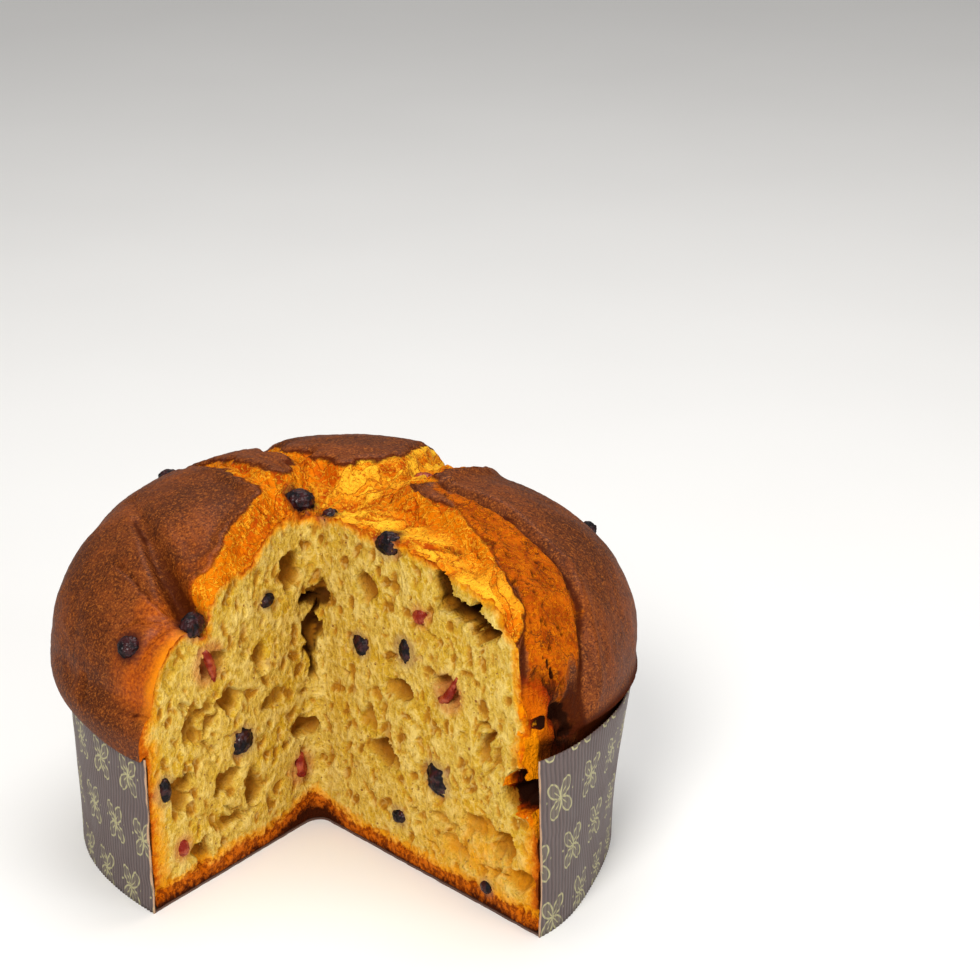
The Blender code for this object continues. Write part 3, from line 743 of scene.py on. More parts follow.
def bread_rings():
    """Rings of points from the foot of the bread to the top of its dome."""
    angle = np.arange(COLUMNS) * 360.0 / COLUMNS
    way = direction(angle)
    rings = []

    def ring(radius, z):
        z = np.broadcast_to(np.asarray(z, float), radius.shape)
        rings.append(np.column_stack([way * radius[:, None], z]))

    for turn in (0.0, 45.0, 90.0):
        t = np.radians(turn)
        inset = FOOT_ROUND * (1.0 - np.sin(t))
        z = BREAD_FOOT + FOOT_ROUND * (1.0 - np.cos(t))
        ring(side_radius(angle, z) - inset, z)
    for z in SIDE_RINGS:
        lower = z * paper_top(angle) / CASE_HEIGHT
        ring(side_radius(angle, lower), lower)

    # The crust rolls out over the paper's edge where it is wider than the paper
    rim = CASE_HEIGHT + GAP
    low_rim = paper_top(angle) + GAP
    over = bulge_radius(angle) - case_radius(angle, CASE_HEIGHT) + stretched(angle, (LEFT_LIP,))
    outside = ease(1.0, 3.0, over)
    droop = (MOST_DROOP + stretched(angle, (LEFT_DROOP,))) * ease(3.0, 5.5, over)
    side = side_radius(angle, rim)
    edge = case_radius(angle, CASE_HEIGHT) + GAP
    step = 1.0 - 0.85 * stretched(angle, (SHRINK,)) / SHRINK[2]
    ring(side_radius(angle, low_rim), low_rim)
    ring(side + 0.8 * step + (edge - side - 0.8) * outside, low_rim + 0.4 * (1.0 - outside))
    ring(side + 1.6 * step + (edge - side - 1.6) * outside, rim + 1.0 * (1.0 - outside) - droop - 0.05)
    lip = side + 2.6 * step + (edge + 1.2 - side - 2.6) * outside
    low = rim + 2.0 * (1.0 - outside) - droop - 0.5 * outside
    ring(lip, low)
    bulge = bulge_radius(angle)
    for turn in range(80, 0, -9):
        t = np.radians(turn)
        ring(lip + (bulge - lip) * np.cos(t), BULGE_HEIGHT - (BULGE_HEIGHT - low) * np.sin(t))
    for t in dome_turns():
        part = np.cos(t) ** (2.0 / DOME_SHAPE)
        radius = bulge * part
        shift = POLE * (1.0 - part) ** 1.5
        plan = way * radius[:, None] + shift
        x, y = plan[:, 0], plan[:, 1]
        flat = ease(0.0, 0.3, np.sin(t))
        z = (1.0 - flat) * (BULGE_HEIGHT + DOME_RISE * np.sin(t)) + flat * dome_height(x, y)
        rings.append(np.column_stack([x, y, z]))
    return rings


def crust_marks(mesh, points):
    """What the crust's colours follow, from the points of the plain dome and the finished ones, by name."""
    x, y, z = points.T
    moved = points_of(mesh)
    high = ease(BULGE_HEIGHT - 4.0, BULGE_HEIGHT + 8.0, z)
    away = torn(x, y)[0]
    wander = raggedness(x, y)
    gold = np.zeros(len(points))
    for run in GOLD_RUNS:
        gold = np.maximum(gold, 1.0 - ease(-3.0, 6.0, stroke(x, y, run)[0] + wander))
    behind, along = behind_cut(points)
    beside = 1.0 - ease(3.0, 25.0, behind + 2.2 * wander)
    warm = beside * ease(38.0, 60.0, np.hypot(x, y)) * (along < 0.0)
    groove = np.exp(-((stroke(x, y, LOBE)[0] + 0.4 * wander) / 1.1) ** 2) * ease(-1.0, 3.0, away)
    for line in (CREASE, SPLIT):
        outside, deep = stroke(x, y, line)
        groove = np.maximum(groove, ease(-1.0, 3.5, -outside) * deep / 7.0)
    foot = 1.0 - ease(CASE_HEIGHT, CASE_HEIGHT + 7.0, z)
    return {
        "away": np.clip(away, -9.0, 9.0),
        "high": high,
        "gold": gold,
        "warm": warm * high,
        "rust": np.clip(stroke(x, y, RUST_RUN)[0] + wander, -9.0, 9.0),
        "groove": np.maximum(groove, grooves(moved)),
        "near_dark": near_fruit(moved, "dark_berry", 1.8),
        "strand": strands(x, y),
        "crack": cracks(points),
        "corner": corner(points),
        "fold": corner_folds(points),
        "crevice": crevice(points),
        "rim": foot * swell(angle_of(x, y), *RIM_SHADE),
        "behind": np.clip(behind, 0.0, 30.0),
        "torn_side": np.clip(torn_side(points), -2.0, 2.0),
    }


def crust_body(material):
    """The whole round loaf before the wedge is cut out, and the names of its numbers."""
    rings = bread_rings()
    top = np.array([[POLE[0], POLE[1], dome_height(*POLE)]])
    foot = np.array([[0.0, 0.0, BREAD_FOOT]])
    plain = np.concatenate(rings + [top, foot])
    faces = grid_faces(len(rings), COLUMNS, True)
    count = len(rings) * COLUMNS
    last = (len(rings) - 1) * COLUMNS
    for j in range(COLUMNS):
        k = (j + 1) % COLUMNS
        faces.append((last + j, last + k, count))
        faces.append((k, j, count + 1))
    body = make_object("bread", crust_moved(plain), faces, material)
    numbers = crust_marks(body.data, plain)
    mark(body.data, **numbers)
    return body, list(numbers)


# Cut faces

def inner_corner():
    """The rounding of the inner corner: its middle line, half angle, reach along the cuts and centre."""
    left = direction(LEFT_CUT)
    right = direction(RIGHT_CUT)
    middle = (left + right) / np.linalg.norm(left + right)
    half = np.radians((RIGHT_CUT - LEFT_CUT) / 2.0)
    return middle, half, APEX_ROUND / np.tan(half), APEX + middle * APEX_ROUND / np.sin(half)


def cut_path():
    """Plan points along the two cuts, from the left end round the inner corner to the right end."""
    left = direction(LEFT_CUT)
    right = direction(RIGHT_CUT)
    middle, half, reach, centre = inner_corner()
    path = []
    for s in [FAR, *np.arange(LEFT_FACE, reach, -FACE_STEP)]:
        path.append((APEX + left * s, -s))
    for turn in np.linspace(-1.0, 1.0, 2 + int(2.6 * APEX_ROUND / FACE_STEP)):
        a = np.arctan2(-middle[1], -middle[0]) - turn * (np.pi / 2.0 - half)
        path.append((centre + APEX_ROUND * np.array([np.cos(a), np.sin(a)]), turn * reach))
    for s in [*np.arange(RIGHT_FACE, reach, -FACE_STEP)[::-1], FAR]:
        path.append((APEX + right * s, s))
    return np.array([p for p, s in path]), np.array([s for p, s in path])


def behind_cut(points):
    """How far points of the bread lie behind the plain cut, and how far along it they are."""
    left = direction(LEFT_CUT)
    right = direction(RIGHT_CUT)
    reach, centre = inner_corner()[2:]
    plan = points[:, :2] - APEX
    into_left = plan[:, 0] * left[1] - plan[:, 1] * left[0]
    into_right = plan[:, 1] * right[0] - plan[:, 0] * right[1]
    along_left = plan @ left
    along_right = plan @ right
    on_left = into_left > into_right
    behind = np.where(on_left, into_left, into_right)
    rounded = np.hypot(*(points[:, :2] - centre).T) - APEX_ROUND
    behind = np.where(np.maximum(along_left, along_right) < reach, rounded, behind)
    along = np.where(on_left, -along_left, along_right)
    return behind, along


def hollow(s, z, middle, height, wide, high, lean):
    """Place across an ellipse: its square distance from the middle and how far up its own height."""
    a = math.radians(lean)
    p = ((s - middle) * math.cos(a) + (z - height) * math.sin(a)) * 2.0 / wide
    q = ((z - height) * math.cos(a) - (s - middle) * math.sin(a)) * 2.0 / high
    return p * p + q * q, q


def pore_depth(s, z, along, heights):
    """Depth of many small pores, stretched the way that the dough has risen."""
    depth = np.zeros_like(s)
    random = np.random.default_rng(17)
    for count in range(PORES):
        middle = random.uniform(-LEFT_FACE, RIGHT_FACE)
        height = random.uniform(4.0, 116.0)
        size = PORE_SIZES[0] * (PORE_SIZES[1] / PORE_SIZES[0]) ** (random.random() ** 1.9)
        longer = random.uniform(1.1, 2.4)
        lean = random.normal(0.0, 34.0) - 14.0 * np.sign(middle)
        reach = size * longer / 2.0 + 1.5
        columns = np.flatnonzero(np.abs(along - middle) < reach)
        rows = np.flatnonzero(np.abs(heights - height) < reach)
        if len(columns) == 0 or len(rows) == 0:
            continue
        part = np.ix_(rows, columns)
        square = hollow(s[part], z[part], middle, height, size, size * longer, lean)[0]
        deep = size * PORE_DEPTH * (1.0 - np.clip(square, 0.0, 1.0))
        depth[part] = np.maximum(depth[part], depth[part] * 0.5 + deep)
    return depth


def bubble_family():
    """Every bubble with the smaller ones that have run into it, which make its outline uneven."""
    random = np.random.default_rng(23)
    family = []
    for middle, height, wide, high, lean, deep in BUBBLES + SMALL_BUBBLES:
        family.append((middle, height, wide * 0.94, high * 0.94, lean, deep))
        for count in range(3):
            turn = random.uniform(0.0, 2.0 * math.pi)
            share = random.uniform(0.32, 0.50)
            smaller = random.uniform(0.42, 0.66)
            s = middle + share * wide * math.cos(turn)
            z = height + share * high * math.sin(turn)
            tilt = lean + random.normal(0.0, 28.0)
            family.append((s, z, wide * smaller, high * smaller, tilt, deep * random.uniform(0.45, 0.85)))
    return family


def fruit_spots():
    """Middle and size of each berry and piece of fruit, in millimetres, with its kind."""
    spots = []
    for name in sorted(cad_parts):
        kind = name.rsplit("_", 1)[0]
        if kind in ("dark_berry", "red_fruit"):
            low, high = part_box(name)
            middle = np.array((low + high) / 2.0) / MM
            spots.append((kind, middle, max(high - low) / MM))
    return spots


def dark_hollow(s, z):
    """1 in the deep crevices and the corner hole of the cut faces, which no light reaches, else 0."""
    dark = np.zeros(np.shape(s))
    for line, deep in LONG_HOLLOWS:
        if deep > DARK_DEPTH:
            dark = np.maximum(dark, ease(1.6, 0.0, stroke(s, z, line)[0]))
    return np.maximum(dark, ease(1.3, 0.8, hollow(s, z, *CORNER_HOLE[:5])[0]))


def cut_corner(s, z):
    """1 where the right cut runs out into the ragged corner, and 0 elsewhere."""
    past = ease(98.0, 107.0, s + 0.10 * (z - 50.0) * (z < 60.0))
    return past * ease(34.0, 42.0, z) * (1.0 - ease(80.0, 94.0, z))


def crumb_roughness(spots, loose):
    """Small unevenness of the crumb, in millimetres."""
    s, z = loose[..., 0], loose[..., 1]
    grain = np.stack([s + 0.35 * z, z * 0.6], -1)
    rough = 0.16 * noise(grain, 2.3, 51) + 0.10 * ridged(loose, 2.1, 52) + 0.24 * noise(spots, 4.7, 53)
    return rough + 0.12 * noise(grain, 1.1, 57)


def face_depth(along, heights):
    """How far each point of the cut faces lies behind its plane, and its pores and roughness alone."""
    s, z = np.meshgrid(along, heights)
    spots = np.stack([s, z], -1)
    loose = warped(warped(spots, 4.6, 1.3, 56), 1.9, 0.55, 58)
    ls, lz = loose[..., 0], loose[..., 1]
    smooth = np.ones_like(s)
    bubbles = np.zeros_like(s)
    for middle, height, wide, high, lean, deep in bubble_family():
        square, up = hollow(ls, lz, middle, height, wide, high, lean)
        inside = np.clip(1.0 - square, 0.0, 1.0)
        bubbles = np.maximum(bubbles, 1.1 * deep * inside ** 0.5 * (1.0 + 0.25 * np.clip(up, -1.0, 1.0)))
        smooth = np.minimum(smooth, 0.15 + 0.85 * ease(0.75, 1.12, square))
    for line, deep in LONG_HOLLOWS:
        outside = stroke(ls, lz, line)[0]
        bubbles = np.maximum(bubbles, deep * ease(0.3, -1.9, outside))
        smooth = np.minimum(smooth, 0.3 + 0.7 * ease(-0.8, 0.4, outside))
    ragged = cut_corner(s, z)
    rough = crumb_roughness(spots, loose)
    rough += ragged * (1.7 * ridged(loose, 6.0, 59) + 0.9 * ridged(loose, 2.6, 60))
    smooth = np.maximum(smooth, ragged)
    fine = (rough + pore_depth(ls, lz, along, heights)) * smooth
    return np.maximum(0.8 * noise(spots, 11.0, 7) + fine, bubbles + rough * smooth), fine


def wedge_cutter(material):
    """The solid that the cut takes away, with the bubbles of the bread standing out from it."""
    plan, along = cut_path()
    heights = np.array([CUT_LOW, -2.0, *np.arange(0.0, FADE_UP[1], FACE_STEP), CUT_HIGH])
    tangent = np.gradient(plan, axis=0)
    tangent /= np.linalg.norm(tangent, axis=1)[:, None]
    inward = np.column_stack([-tangent[:, 1], tangent[:, 0]])
    depth, fine = face_depth(along, heights)
    fade = ease(0.0, 3.0, heights) * (1.0 - ease(*FADE_UP, heights))
    ends = 1.0 - ease(*FADE_ALONG, np.abs(along))
    depth = depth * fade[:, None] * ends[None, :]
    moved = plan[None, :, :] + inward[None, :, :] * depth[:, :, None]
    rows, columns = depth.shape
    tall = np.broadcast_to(heights[:, None, None], (rows, columns, 1))
    points = np.concatenate([moved, tall], -1).reshape(-1, 3)
    faces = grid_faces(rows, columns, False)
    top = (rows - 1) * columns
    faces.append(tuple(range(columns)))
    faces.append(tuple(top + i for i in range(columns)))
    front = [i * columns for i in range(rows)] + [i * columns + columns - 1 for i in reversed(range(rows))]
    faces.append(tuple(front))
    cutter = make_object("wedge", points, faces, material)
    mark(cutter.data, pore=np.clip(fine / PORE_SHADE, -1.0, 2.0).ravel())
    return cutter


def nearest(points, others):
    """For each point, which of the others is nearest and how far away it is."""
    search = KDTree(len(others))
    for i, spot in enumerate(others):
        search.insert(spot, i)
    search.balance()
    found = [search.find(point)[1:] for point in points]
    return np.array([which for which, away in found]), np.array([away for which, away in found])


def fill_new_points(mesh, known, names):
    """Give the points that the cut has made the numbers of the crust's nearest own point."""
    points = points_of(mesh)
    crust = np.flatnonzero(known > 0.9)
    made = np.flatnonzero(known < 0.9)
    source = crust[nearest(points[made], points[crust])[0]]
    for name in names:
        values = marked(mesh, name)
        values[made] = values[source]
        mark(mesh, **{name: values})


def under_crust(points, crust):
    """Distance of points of the bread from its outside, in millimetres, by the nearest crust point."""
    angle = angle_of(points[:, 0], points[:, 1])
    z = points[:, 2]
    side = side_radius(angle, np.minimum(z, CASE_HEIGHT)) - np.hypot(points[:, 0], points[:, 1])
    blend = ease(CASE_HEIGHT - 6.0, CASE_HEIGHT, z)
    return np.clip(side, 0.0, None) * (1.0 - blend) + nearest(points, crust)[1] * blend


def near_fruit(points, wanted, width):
    """1 at the fruit of one kind and less with distance from it."""
    near = np.zeros(len(points))
    for kind, middle, size in fruit_spots():
        if kind == wanted:
            away = np.clip(np.linalg.norm(points - middle, axis=1) - size / 2.0, 0.0, None)
            near = np.maximum(near, np.exp(-(away / width) ** 2))
    return near


def crumb_marks(mesh, known):
    """Store what the crumb's colours follow: how deep a point lies in a bubble, and what is near it."""
    points = points_of(mesh)
    z = points[:, 2]
    behind, along = behind_cut(points)
    inside = known < 0.9
    under = np.zeros(len(points))
    under[inside] = under_crust(points[inside], points[(known > 0.9) & (z > CASE_HEIGHT - 10.0)])
    thicker = 4.0 * np.exp(-((along + 3.0) / 11.0) ** 2)
    hole = ease(2.0, 1.1, hollow(along, z, *CORNER_HOLE[:5])[0])
    mark(
        mesh,
        pit=np.clip(behind / 6.0, 0.0, 2.0),
        side=1.0 - ease(CASE_HEIGHT - 4.0, BULGE_HEIGHT + 6.0, z),
        under=under,
        foot=z - BREAD_FOOT - thicker,
        berry_stain=near_fruit(points, "dark_berry", 1.5),
        red_stain=near_fruit(points, "red_fruit", 2.0),
        ochre=np.exp(-((along - 86.0) / 26.0) ** 2 - ((z - 14.0) / 15.0) ** 2),
        corner_pit=np.maximum(cut_corner(along, z), hole),
        dark_hollow=dark_hollow(along, z),
    )


def bread(crust, crumb):
    """The cut loaf as one closed mesh, with crust and crumb finishes."""
    body, names = crust_body(crust)
    cutter = wedge_cutter(crumb)
    mark(body.data, known=1.0, pore=0.0)
    mark(cutter.data, known=0.5)
    step = body.modifiers.new("cut", "BOOLEAN")
    step.operation = "DIFFERENCE"
    step.solver = "MANIFOLD"
    step.material_mode = "TRANSFER"
    step.object = cutter
    applied(body)
    bpy.data.objects.remove(cutter)
    mesh = body.data
    known = marked(mesh, "known")
    fill_new_points(mesh, known, names)
    mesh.attributes.remove(mesh.attributes["known"])
    crumb_marks(mesh, known)
    mesh.shade_smooth()
    mesh.set_sharp_from_angle(angle=math.radians(75.0))
    return settle(body, "bread", "loaf")


# Finish of the crust

def skin_colour(f, fine, middle, broad):
    """Dark baked skin with pale flecks and dark pits, warmer beside the left cut."""
    warm, behind = f.marks("warm", "behind")
    speck = fine * 0.45 + f.noise(f.spot(), 1700.0, 2.0, 0.6) * 0.55
    amber = f.mix(f.soft(0.35, 0.65, fine), RUST, WARM)
    return f.layers(
        SKIN_DARK,
        (f.soft(0.35, 0.68, broad * 0.7 + middle * 0.3), SKIN),
        (f.soft(0.51, 0.62, speck) * 0.6, SKIN_FLECK),
        (f.soft(0.48, 0.38, speck) * 0.75, SKIN_PIT),
        (warm * f.soft(0.25, 0.60, broad * 0.45 + middle * 0.55) * 0.9, amber),
        (warm * f.soft(7.0, 0.5, behind + (middle - 0.5) * 4.0) * 0.85, TORN_GOLD),
    )


def rust_colour(f, fine, other, fibre, hair):
    """Ochre dough at the side of the loaf, with fibres across it."""
    return f.layers(
        RUST,
        (f.soft(0.38, 0.62, fine * 0.35 + other * 0.65), WARM),
        (f.line(hair, 0.05) * 0.35, TORN_GOLD),
        (f.line(fibre, 0.016) * 0.7, SKIN_DARK),
        (f.soft(0.40, 0.28, fine) * 0.5, TORN_RED),
    )


def flesh_colour(f, grains, fibres, drawn_out):
    """Torn dough of the cross: red and orange, gold and pale along its runs and threads."""
    fine, middle, broad = grains
    other, fibre, hair = fibres
    strand, gold, crack = f.marks("strand", "gold", "crack")
    threads = f.soft(-0.9, 0.9, strand + (fine - 0.5) * 1.3)
    pale = gold * f.soft(0.32, 0.60, middle * 0.45 + broad * 0.35 + threads * 0.2)
    return f.layers(
        TORN_RED,
        (f.soft(0.34, 0.60, broad * 0.5 + middle * 0.5), TORN_ORANGE),
        (threads * 0.6, TORN_GOLD),
        (pale, f.mix(threads, TORN_GOLD, TORN_PALE)),
        (f.line(hair, 0.05) * 0.4, TORN_PALE),
        (drawn_out * f.soft(0.4, 0.6, broad) * 0.7, TORN_RED),
        (f.line(fibre, 0.014) * f.soft(0.5, 0.6, other) * 0.25, TORN_RED),
        (crack * 0.8, TORN_EDGE_BROWN),
        (f.soft(0.46, 0.30, fine) * 0.7, TORN_RED),
    )


def corner_colour(f, side, rim):
    """Dough of the ragged corner: dark at the split, then red, ochre and gold towards the cut, with painted
    shadow low by the paper.
    """
    return f.layers(
        CORNER_DARK,
        (f.soft(0.15, 0.45, side), TORN_RED),
        (f.soft(0.40, 0.75, side), WARM),
        (f.soft(0.80, 1.30, side), TORN_GOLD),
        # Painted shadow low down by the paper
        (rim * f.soft(1.3, 0.7, side), CREVICE_SHADOW),
    )


def crust_finish():
    """Dark baked skin with pale flecks, orange and gold where the dough has torn."""
    f = Finish("baked_crust", 0.55, Specular_IOR_Level=0.03, Coat_Roughness=0.42)
    spot = f.spot()
    fine = f.noise(spot, 900.0, 3.0, 0.6)
    middle = f.noise(spot, 240.0, 3.0, 0.6)
    broad = f.noise(spot, 42.0, 4.0, 0.55)
    other = f.noise(spot, 140.0, 4.0, 0.6)
    fibre = f.noise(spot, 95.0, 4.0, 0.6)
    hair = f.noise(f.loosened(spot, 120.0, 0.006), 420.0, 2.0, 0.5)
    streak = f.noise(f.scaled(spot, (1.0, 1.0, 0.22)), 420.0, 3.0, 0.6)
    high, away, rust, groove, strand, crack = f.marks("high", "away", "rust", "groove", "strand", "crack")
    corner, torn_side, fold, rim = f.marks("corner", "torn_side", "fold", "rim")
    crevice, near_dark = f.marks("crevice", "near_dark")

    away = away + (middle - 0.5) * 2.6 + (fine - 0.5) * 1.2
    torn_part = f.soft(0.7, 0.2, away) * high
    edge = f.soft(1.1, 0.2, f.math("ABSOLUTE", away - 0.6)) * high
    rusty = f.soft(0.8, -0.8, rust + (middle - 0.5) * 4.0 + (fine - 0.5) * 2.0) * high
    side = torn_side + (streak - 0.5) * 1.1 + fold * 0.12
    corner_part = corner * f.soft(-0.15, 0.1, side)
    crease = groove * (1.0 + (middle - 0.5) * 1.2)
    drawn_out = f.line(strand * 0.5 + 0.5 + (middle - 0.5) * 0.35, 0.045)
    shaded_rim = rim * (1.0 - corner_part) * (1.0 + (fine - 0.5) * 1.0 + (middle - 0.5) * 1.0)
    split = crevice * (1.0 + (streak - 0.5) * 1.4 + (middle - 0.5) * 0.8)
    colour = f.layers(
        skin_colour(f, fine, middle, broad),
        (rusty * 0.92, rust_colour(f, fine, other, fibre, hair)),
        (rusty * crack * 0.9, SKIN_PIT),
        # Creases painted dark, as the shade that falls in them
        (f.soft(0.32, 0.95, crease) * 0.9, CORNER_DARK),
        (torn_part, flesh_colour(f, (fine, middle, broad), (other, fibre, hair), drawn_out)),
        (edge * f.soft(0.35, 0.60, broad) * 0.85, TORN_EDGE_BROWN),
        (corner_part, corner_colour(f, side, rim)),
        # Painted shade darkens the crust's foot over the paper
        (f.soft(0.10, 0.65, shaded_rim) * 0.9, CORNER_DARK),
        # The deep split of the corner painted nearly black, as shadow
        (f.soft(0.40, 0.62, split) * 0.95, CREVICE_SHADOW),
        (near_dark * 0.8, STAIN),
    )
    ragged_part = f.most(torn_part, rusty, corner_part)
    lines = f.line(hair, 0.06) * 0.3 - f.line(fibre, 0.04) * 0.12 - drawn_out * 0.2
    height = fine * 0.5 + middle * 0.6 + lines * ragged_part + streak * 2.0 * corner
    dull = f.most(ragged_part, groove, edge, crevice * 1.6, rim, near_dark)
    coat = (1.0 - f.math("MINIMUM", dull, 1.0)) * 0.21
    rough = 0.60 - torn_part * 0.10 + fine * 0.12
    relief = f.bump(height, FINE_RELIEF, 0.9)
    return f.show(Base_Color=colour, Roughness=rough, Coat_Weight=coat, Normal=relief)


# Finish of the crumb

CRUMB = rgb(203, 167, 68)
CRUMB_PALE = rgb(230, 203, 120)
CRUMB_YELLOW = rgb(198, 154, 24)
CRUMB_SHADE = rgb(126, 80, 10)
PORE_OCHRE = rgb(186, 130, 32)
PORE_BROWN = rgb(134, 76, 10)
# Painted shadow for the deepest bubbles and crevices
DEEP_SHADOW = rgb(50, 20, 4)
CRUMB_GOLD = rgb(226, 146, 10)
CRUST_ORANGE = rgb(184, 80, 2)
CRUST_BROWN = rgb(104, 40, 4)
FOOT_DARK = rgb(54, 18, 3)
RED_STAIN = rgb(186, 108, 66)
DARK_STAIN = rgb(146, 112, 86)


def crumb_colour(f, grains, cell, small):
    """Pale yellow crumb, ochre and brown in its pores and bubbles, partly their own colour and partly painted
    shade.
    """
    fine, grain, broad = grains
    pit, pore, dark = f.marks("pit", "pore", "dark_hollow")
    some = f.soft(0.36, 0.58, f.noise(f.spot(), 190.0))
    return f.layers(
        CRUMB,
        (f.soft(0.42, 0.70, broad) * 0.8, CRUMB_YELLOW),
        (f.soft(0.52, 0.68, grain) * 0.5, CRUMB_PALE),
        (f.soft(0.47, 0.33, grain) * 0.4, CRUMB_SHADE),
        (f.soft(0.42, 0.30, fine) * 0.4, CRUMB_SHADE),
        # Paler where the crumb stands out, ochre then brown deeper in its pores: painted light and shade that
        # follow the relief, over the pores' own ochre
        (f.soft(0.02, -0.30, pore) * 0.55, CRUMB_PALE),
        (f.soft(0.12, 0.80, pore + (fine - 0.5) * 0.3) * 0.75, PORE_OCHRE),
        (f.soft(0.55, 1.40, pore) * 0.7, PORE_BROWN),
        (f.soft(0.36, 0.08, cell) * some * 0.35, CRUMB_SHADE),
        (f.soft(0.34, 0.06, small) * 0.30, CRUMB_SHADE),
        (f.soft(0.54, 0.80, cell) * 0.4, CRUMB_PALE),
        # Ochre, then brown, then nearly black the farther behind the cut: the bubbles' own ochre with painted
        # shade, the darkest a painted shadow
        (f.soft(0.12, 0.45, pit) * 0.75, PORE_OCHRE),
        (f.soft(0.30, 0.85, pit) * 0.85, PORE_BROWN),
        (f.soft(0.90, 1.45, pit) * 0.95, DEEP_SHADOW),
        # The deep crevices and the corner hole painted nearly black, as shadow
        (dark * f.soft(0.20, 0.60, pit) * 0.8, DEEP_SHADOW),
    )


def baked_crumb(f, colour, grain, broad):
    """A crumb colour that turns golden, orange and brown towards the crust and the foot."""
    wander = (grain - 0.5) * 5.0 + (broad - 0.5) * 7.0
    under, side, foot, ochre = f.marks("under", "side", "foot", "ochre")
    under = under * (2.1 - side * 1.2) + wander
    foot = foot + wander
    return f.layers(
        colour,
        (ochre * f.soft(0.35, 0.62, broad * 0.6 + grain * 0.4) * 0.75, CRUMB_GOLD),
        (f.soft(8.0, 3.0, under) * 0.75, CRUMB_GOLD),
        (f.soft(4.0, 1.0, under) * 0.9, CRUST_ORANGE),
        (f.soft(1.6, -0.6, under) * 0.9, CRUST_BROWN),
        (f.soft(8.5, 5.5, foot) * 0.75, CRUMB_GOLD),
        (f.soft(6.0, 3.8, foot) * 0.85, CRUST_ORANGE),
        (f.soft(0.56, 0.42, grain) * f.soft(6.4, 3.6, foot) * 0.75, CRUST_BROWN),
        (f.soft(2.6, 0.6, foot) * 0.7, CRUST_BROWN),
        (f.soft(1.0, -0.6, foot), FOOT_DARK),
    )


def frayed_colour(f, strand, pit):
    """Orange dough where the right cut runs out into the ragged corner, darkened in its hollows as painted
    shade.
    """
    return f.layers(
        TORN_ORANGE,
        (f.soft(0.40, 0.62, strand), TORN_GOLD),
        # Darker the deeper in a hollow, as painted shade, then painted shadow
        (f.soft(0.15, 0.75, pit), f.mix(f.soft(0.4, 0.6, strand), CORNER_DARK, TORN_RED)),
        (f.soft(0.6, 1.1, pit), CREVICE_SHADOW),
    )


def crumb_finish():
    """Pale yellow crumb, ochre in its bubbles with painted shade deeper in, golden then brown towards the
    crust.
    """
    f = Finish("open_crumb", 0.75, Specular_IOR_Level=0.03)
    spot = f.spot()
    fine = f.noise(spot, 1500.0, 2.0, 0.6)
    grain = f.noise(spot, 620.0, 3.0, 0.65)
    broad = f.noise(spot, 75.0, 3.0, 0.5)
    strand = f.noise(f.scaled(spot, (1.0, 1.0, 0.3)), 420.0, 3.0, 0.6)
    loose = f.loosened(f.scaled(spot, (1.0, 1.0, 0.7)), 260.0, 0.0022)
    cell = f.cells(loose, 480.0)
    small = f.cells(loose, 1100.0)
    pit, corner_pit, red_stain, berry_stain = f.marks("pit", "corner_pit", "red_stain", "berry_stain")
    frayed = corner_pit + (strand - 0.5) * 1.3 + (broad - 0.5) * 0.8
    colour = f.layers(
        baked_crumb(f, crumb_colour(f, (fine, grain, broad), cell, small), grain, broad),
        (f.soft(0.42, 0.58, frayed), frayed_colour(f, strand, pit)),
        (red_stain * 0.55, RED_STAIN),
        (berry_stain * 0.5, DARK_STAIN),
    )
    height = (grain * 0.8 + fine * 0.4 + cell * 0.6 + small * 0.3) * (f.soft(1.2, 0.2, pit) * 0.8 + 0.2)
    return f.show(Base_Color=colour, Normal=f.bump(height, FINE_RELIEF, 0.85))


# Berries and fruit

BERRY_BLACK = rgb(14, 11, 15)
BERRY_PLUM = rgb(50, 13, 16)
FRUIT_RED = rgb(118, 26, 12)
FRUIT_PINK = rgb(160, 68, 36)
BERRY_BLOOM = rgb(92, 84, 96)
FRUIT_BLOOM = rgb(226, 150, 120)

# Longest side of a fruit that counts as a strip, and how far a strip bends, in millimetres
STRIP = 8.0
BEND = 1.6
# How deep the wrinkles of a berry and of a piece of fruit are for its size
BERRY_WRINKLE = 0.13
FRUIT_WRINKLE = 0.16
# How many noise units across a fruit is, and how far apart two fruits lie in the noise
FRUIT_UNITS = 9.0
FRUIT_APART = 3.1
# Depth of the finest wrinkles, which the finish adds, in metres
FINE_WRINKLES = 0.0004


def berry_finish(name, dark, light, bloom):
    """Moist wrinkled skin in two colours."""
    f = Finish(name, 0.35, Specular_IOR_Level=0.12, Coat_Roughness=0.08)
    broad = f.noise(f.spot(), 330.0, 3.0, 0.6)
    fine = f.noise(f.spot(), 1300.0, 3.0, 0.6)
    colour = f.layers(
        dark,
        (f.soft(0.42, 0.64, broad), light),
        (f.soft(0.62, 0.80, fine) * 0.1, bloom),
    )
    rough = 0.30 + fine * 0.25
    coat = f.soft(0.4, 0.6, broad) * 0.32
    wrinkles = f.bump(fine + broad, FINE_WRINKLES, 0.4)
    return f.show(Base_Color=colour, Roughness=rough, Coat_Weight=coat, Normal=wrinkles)


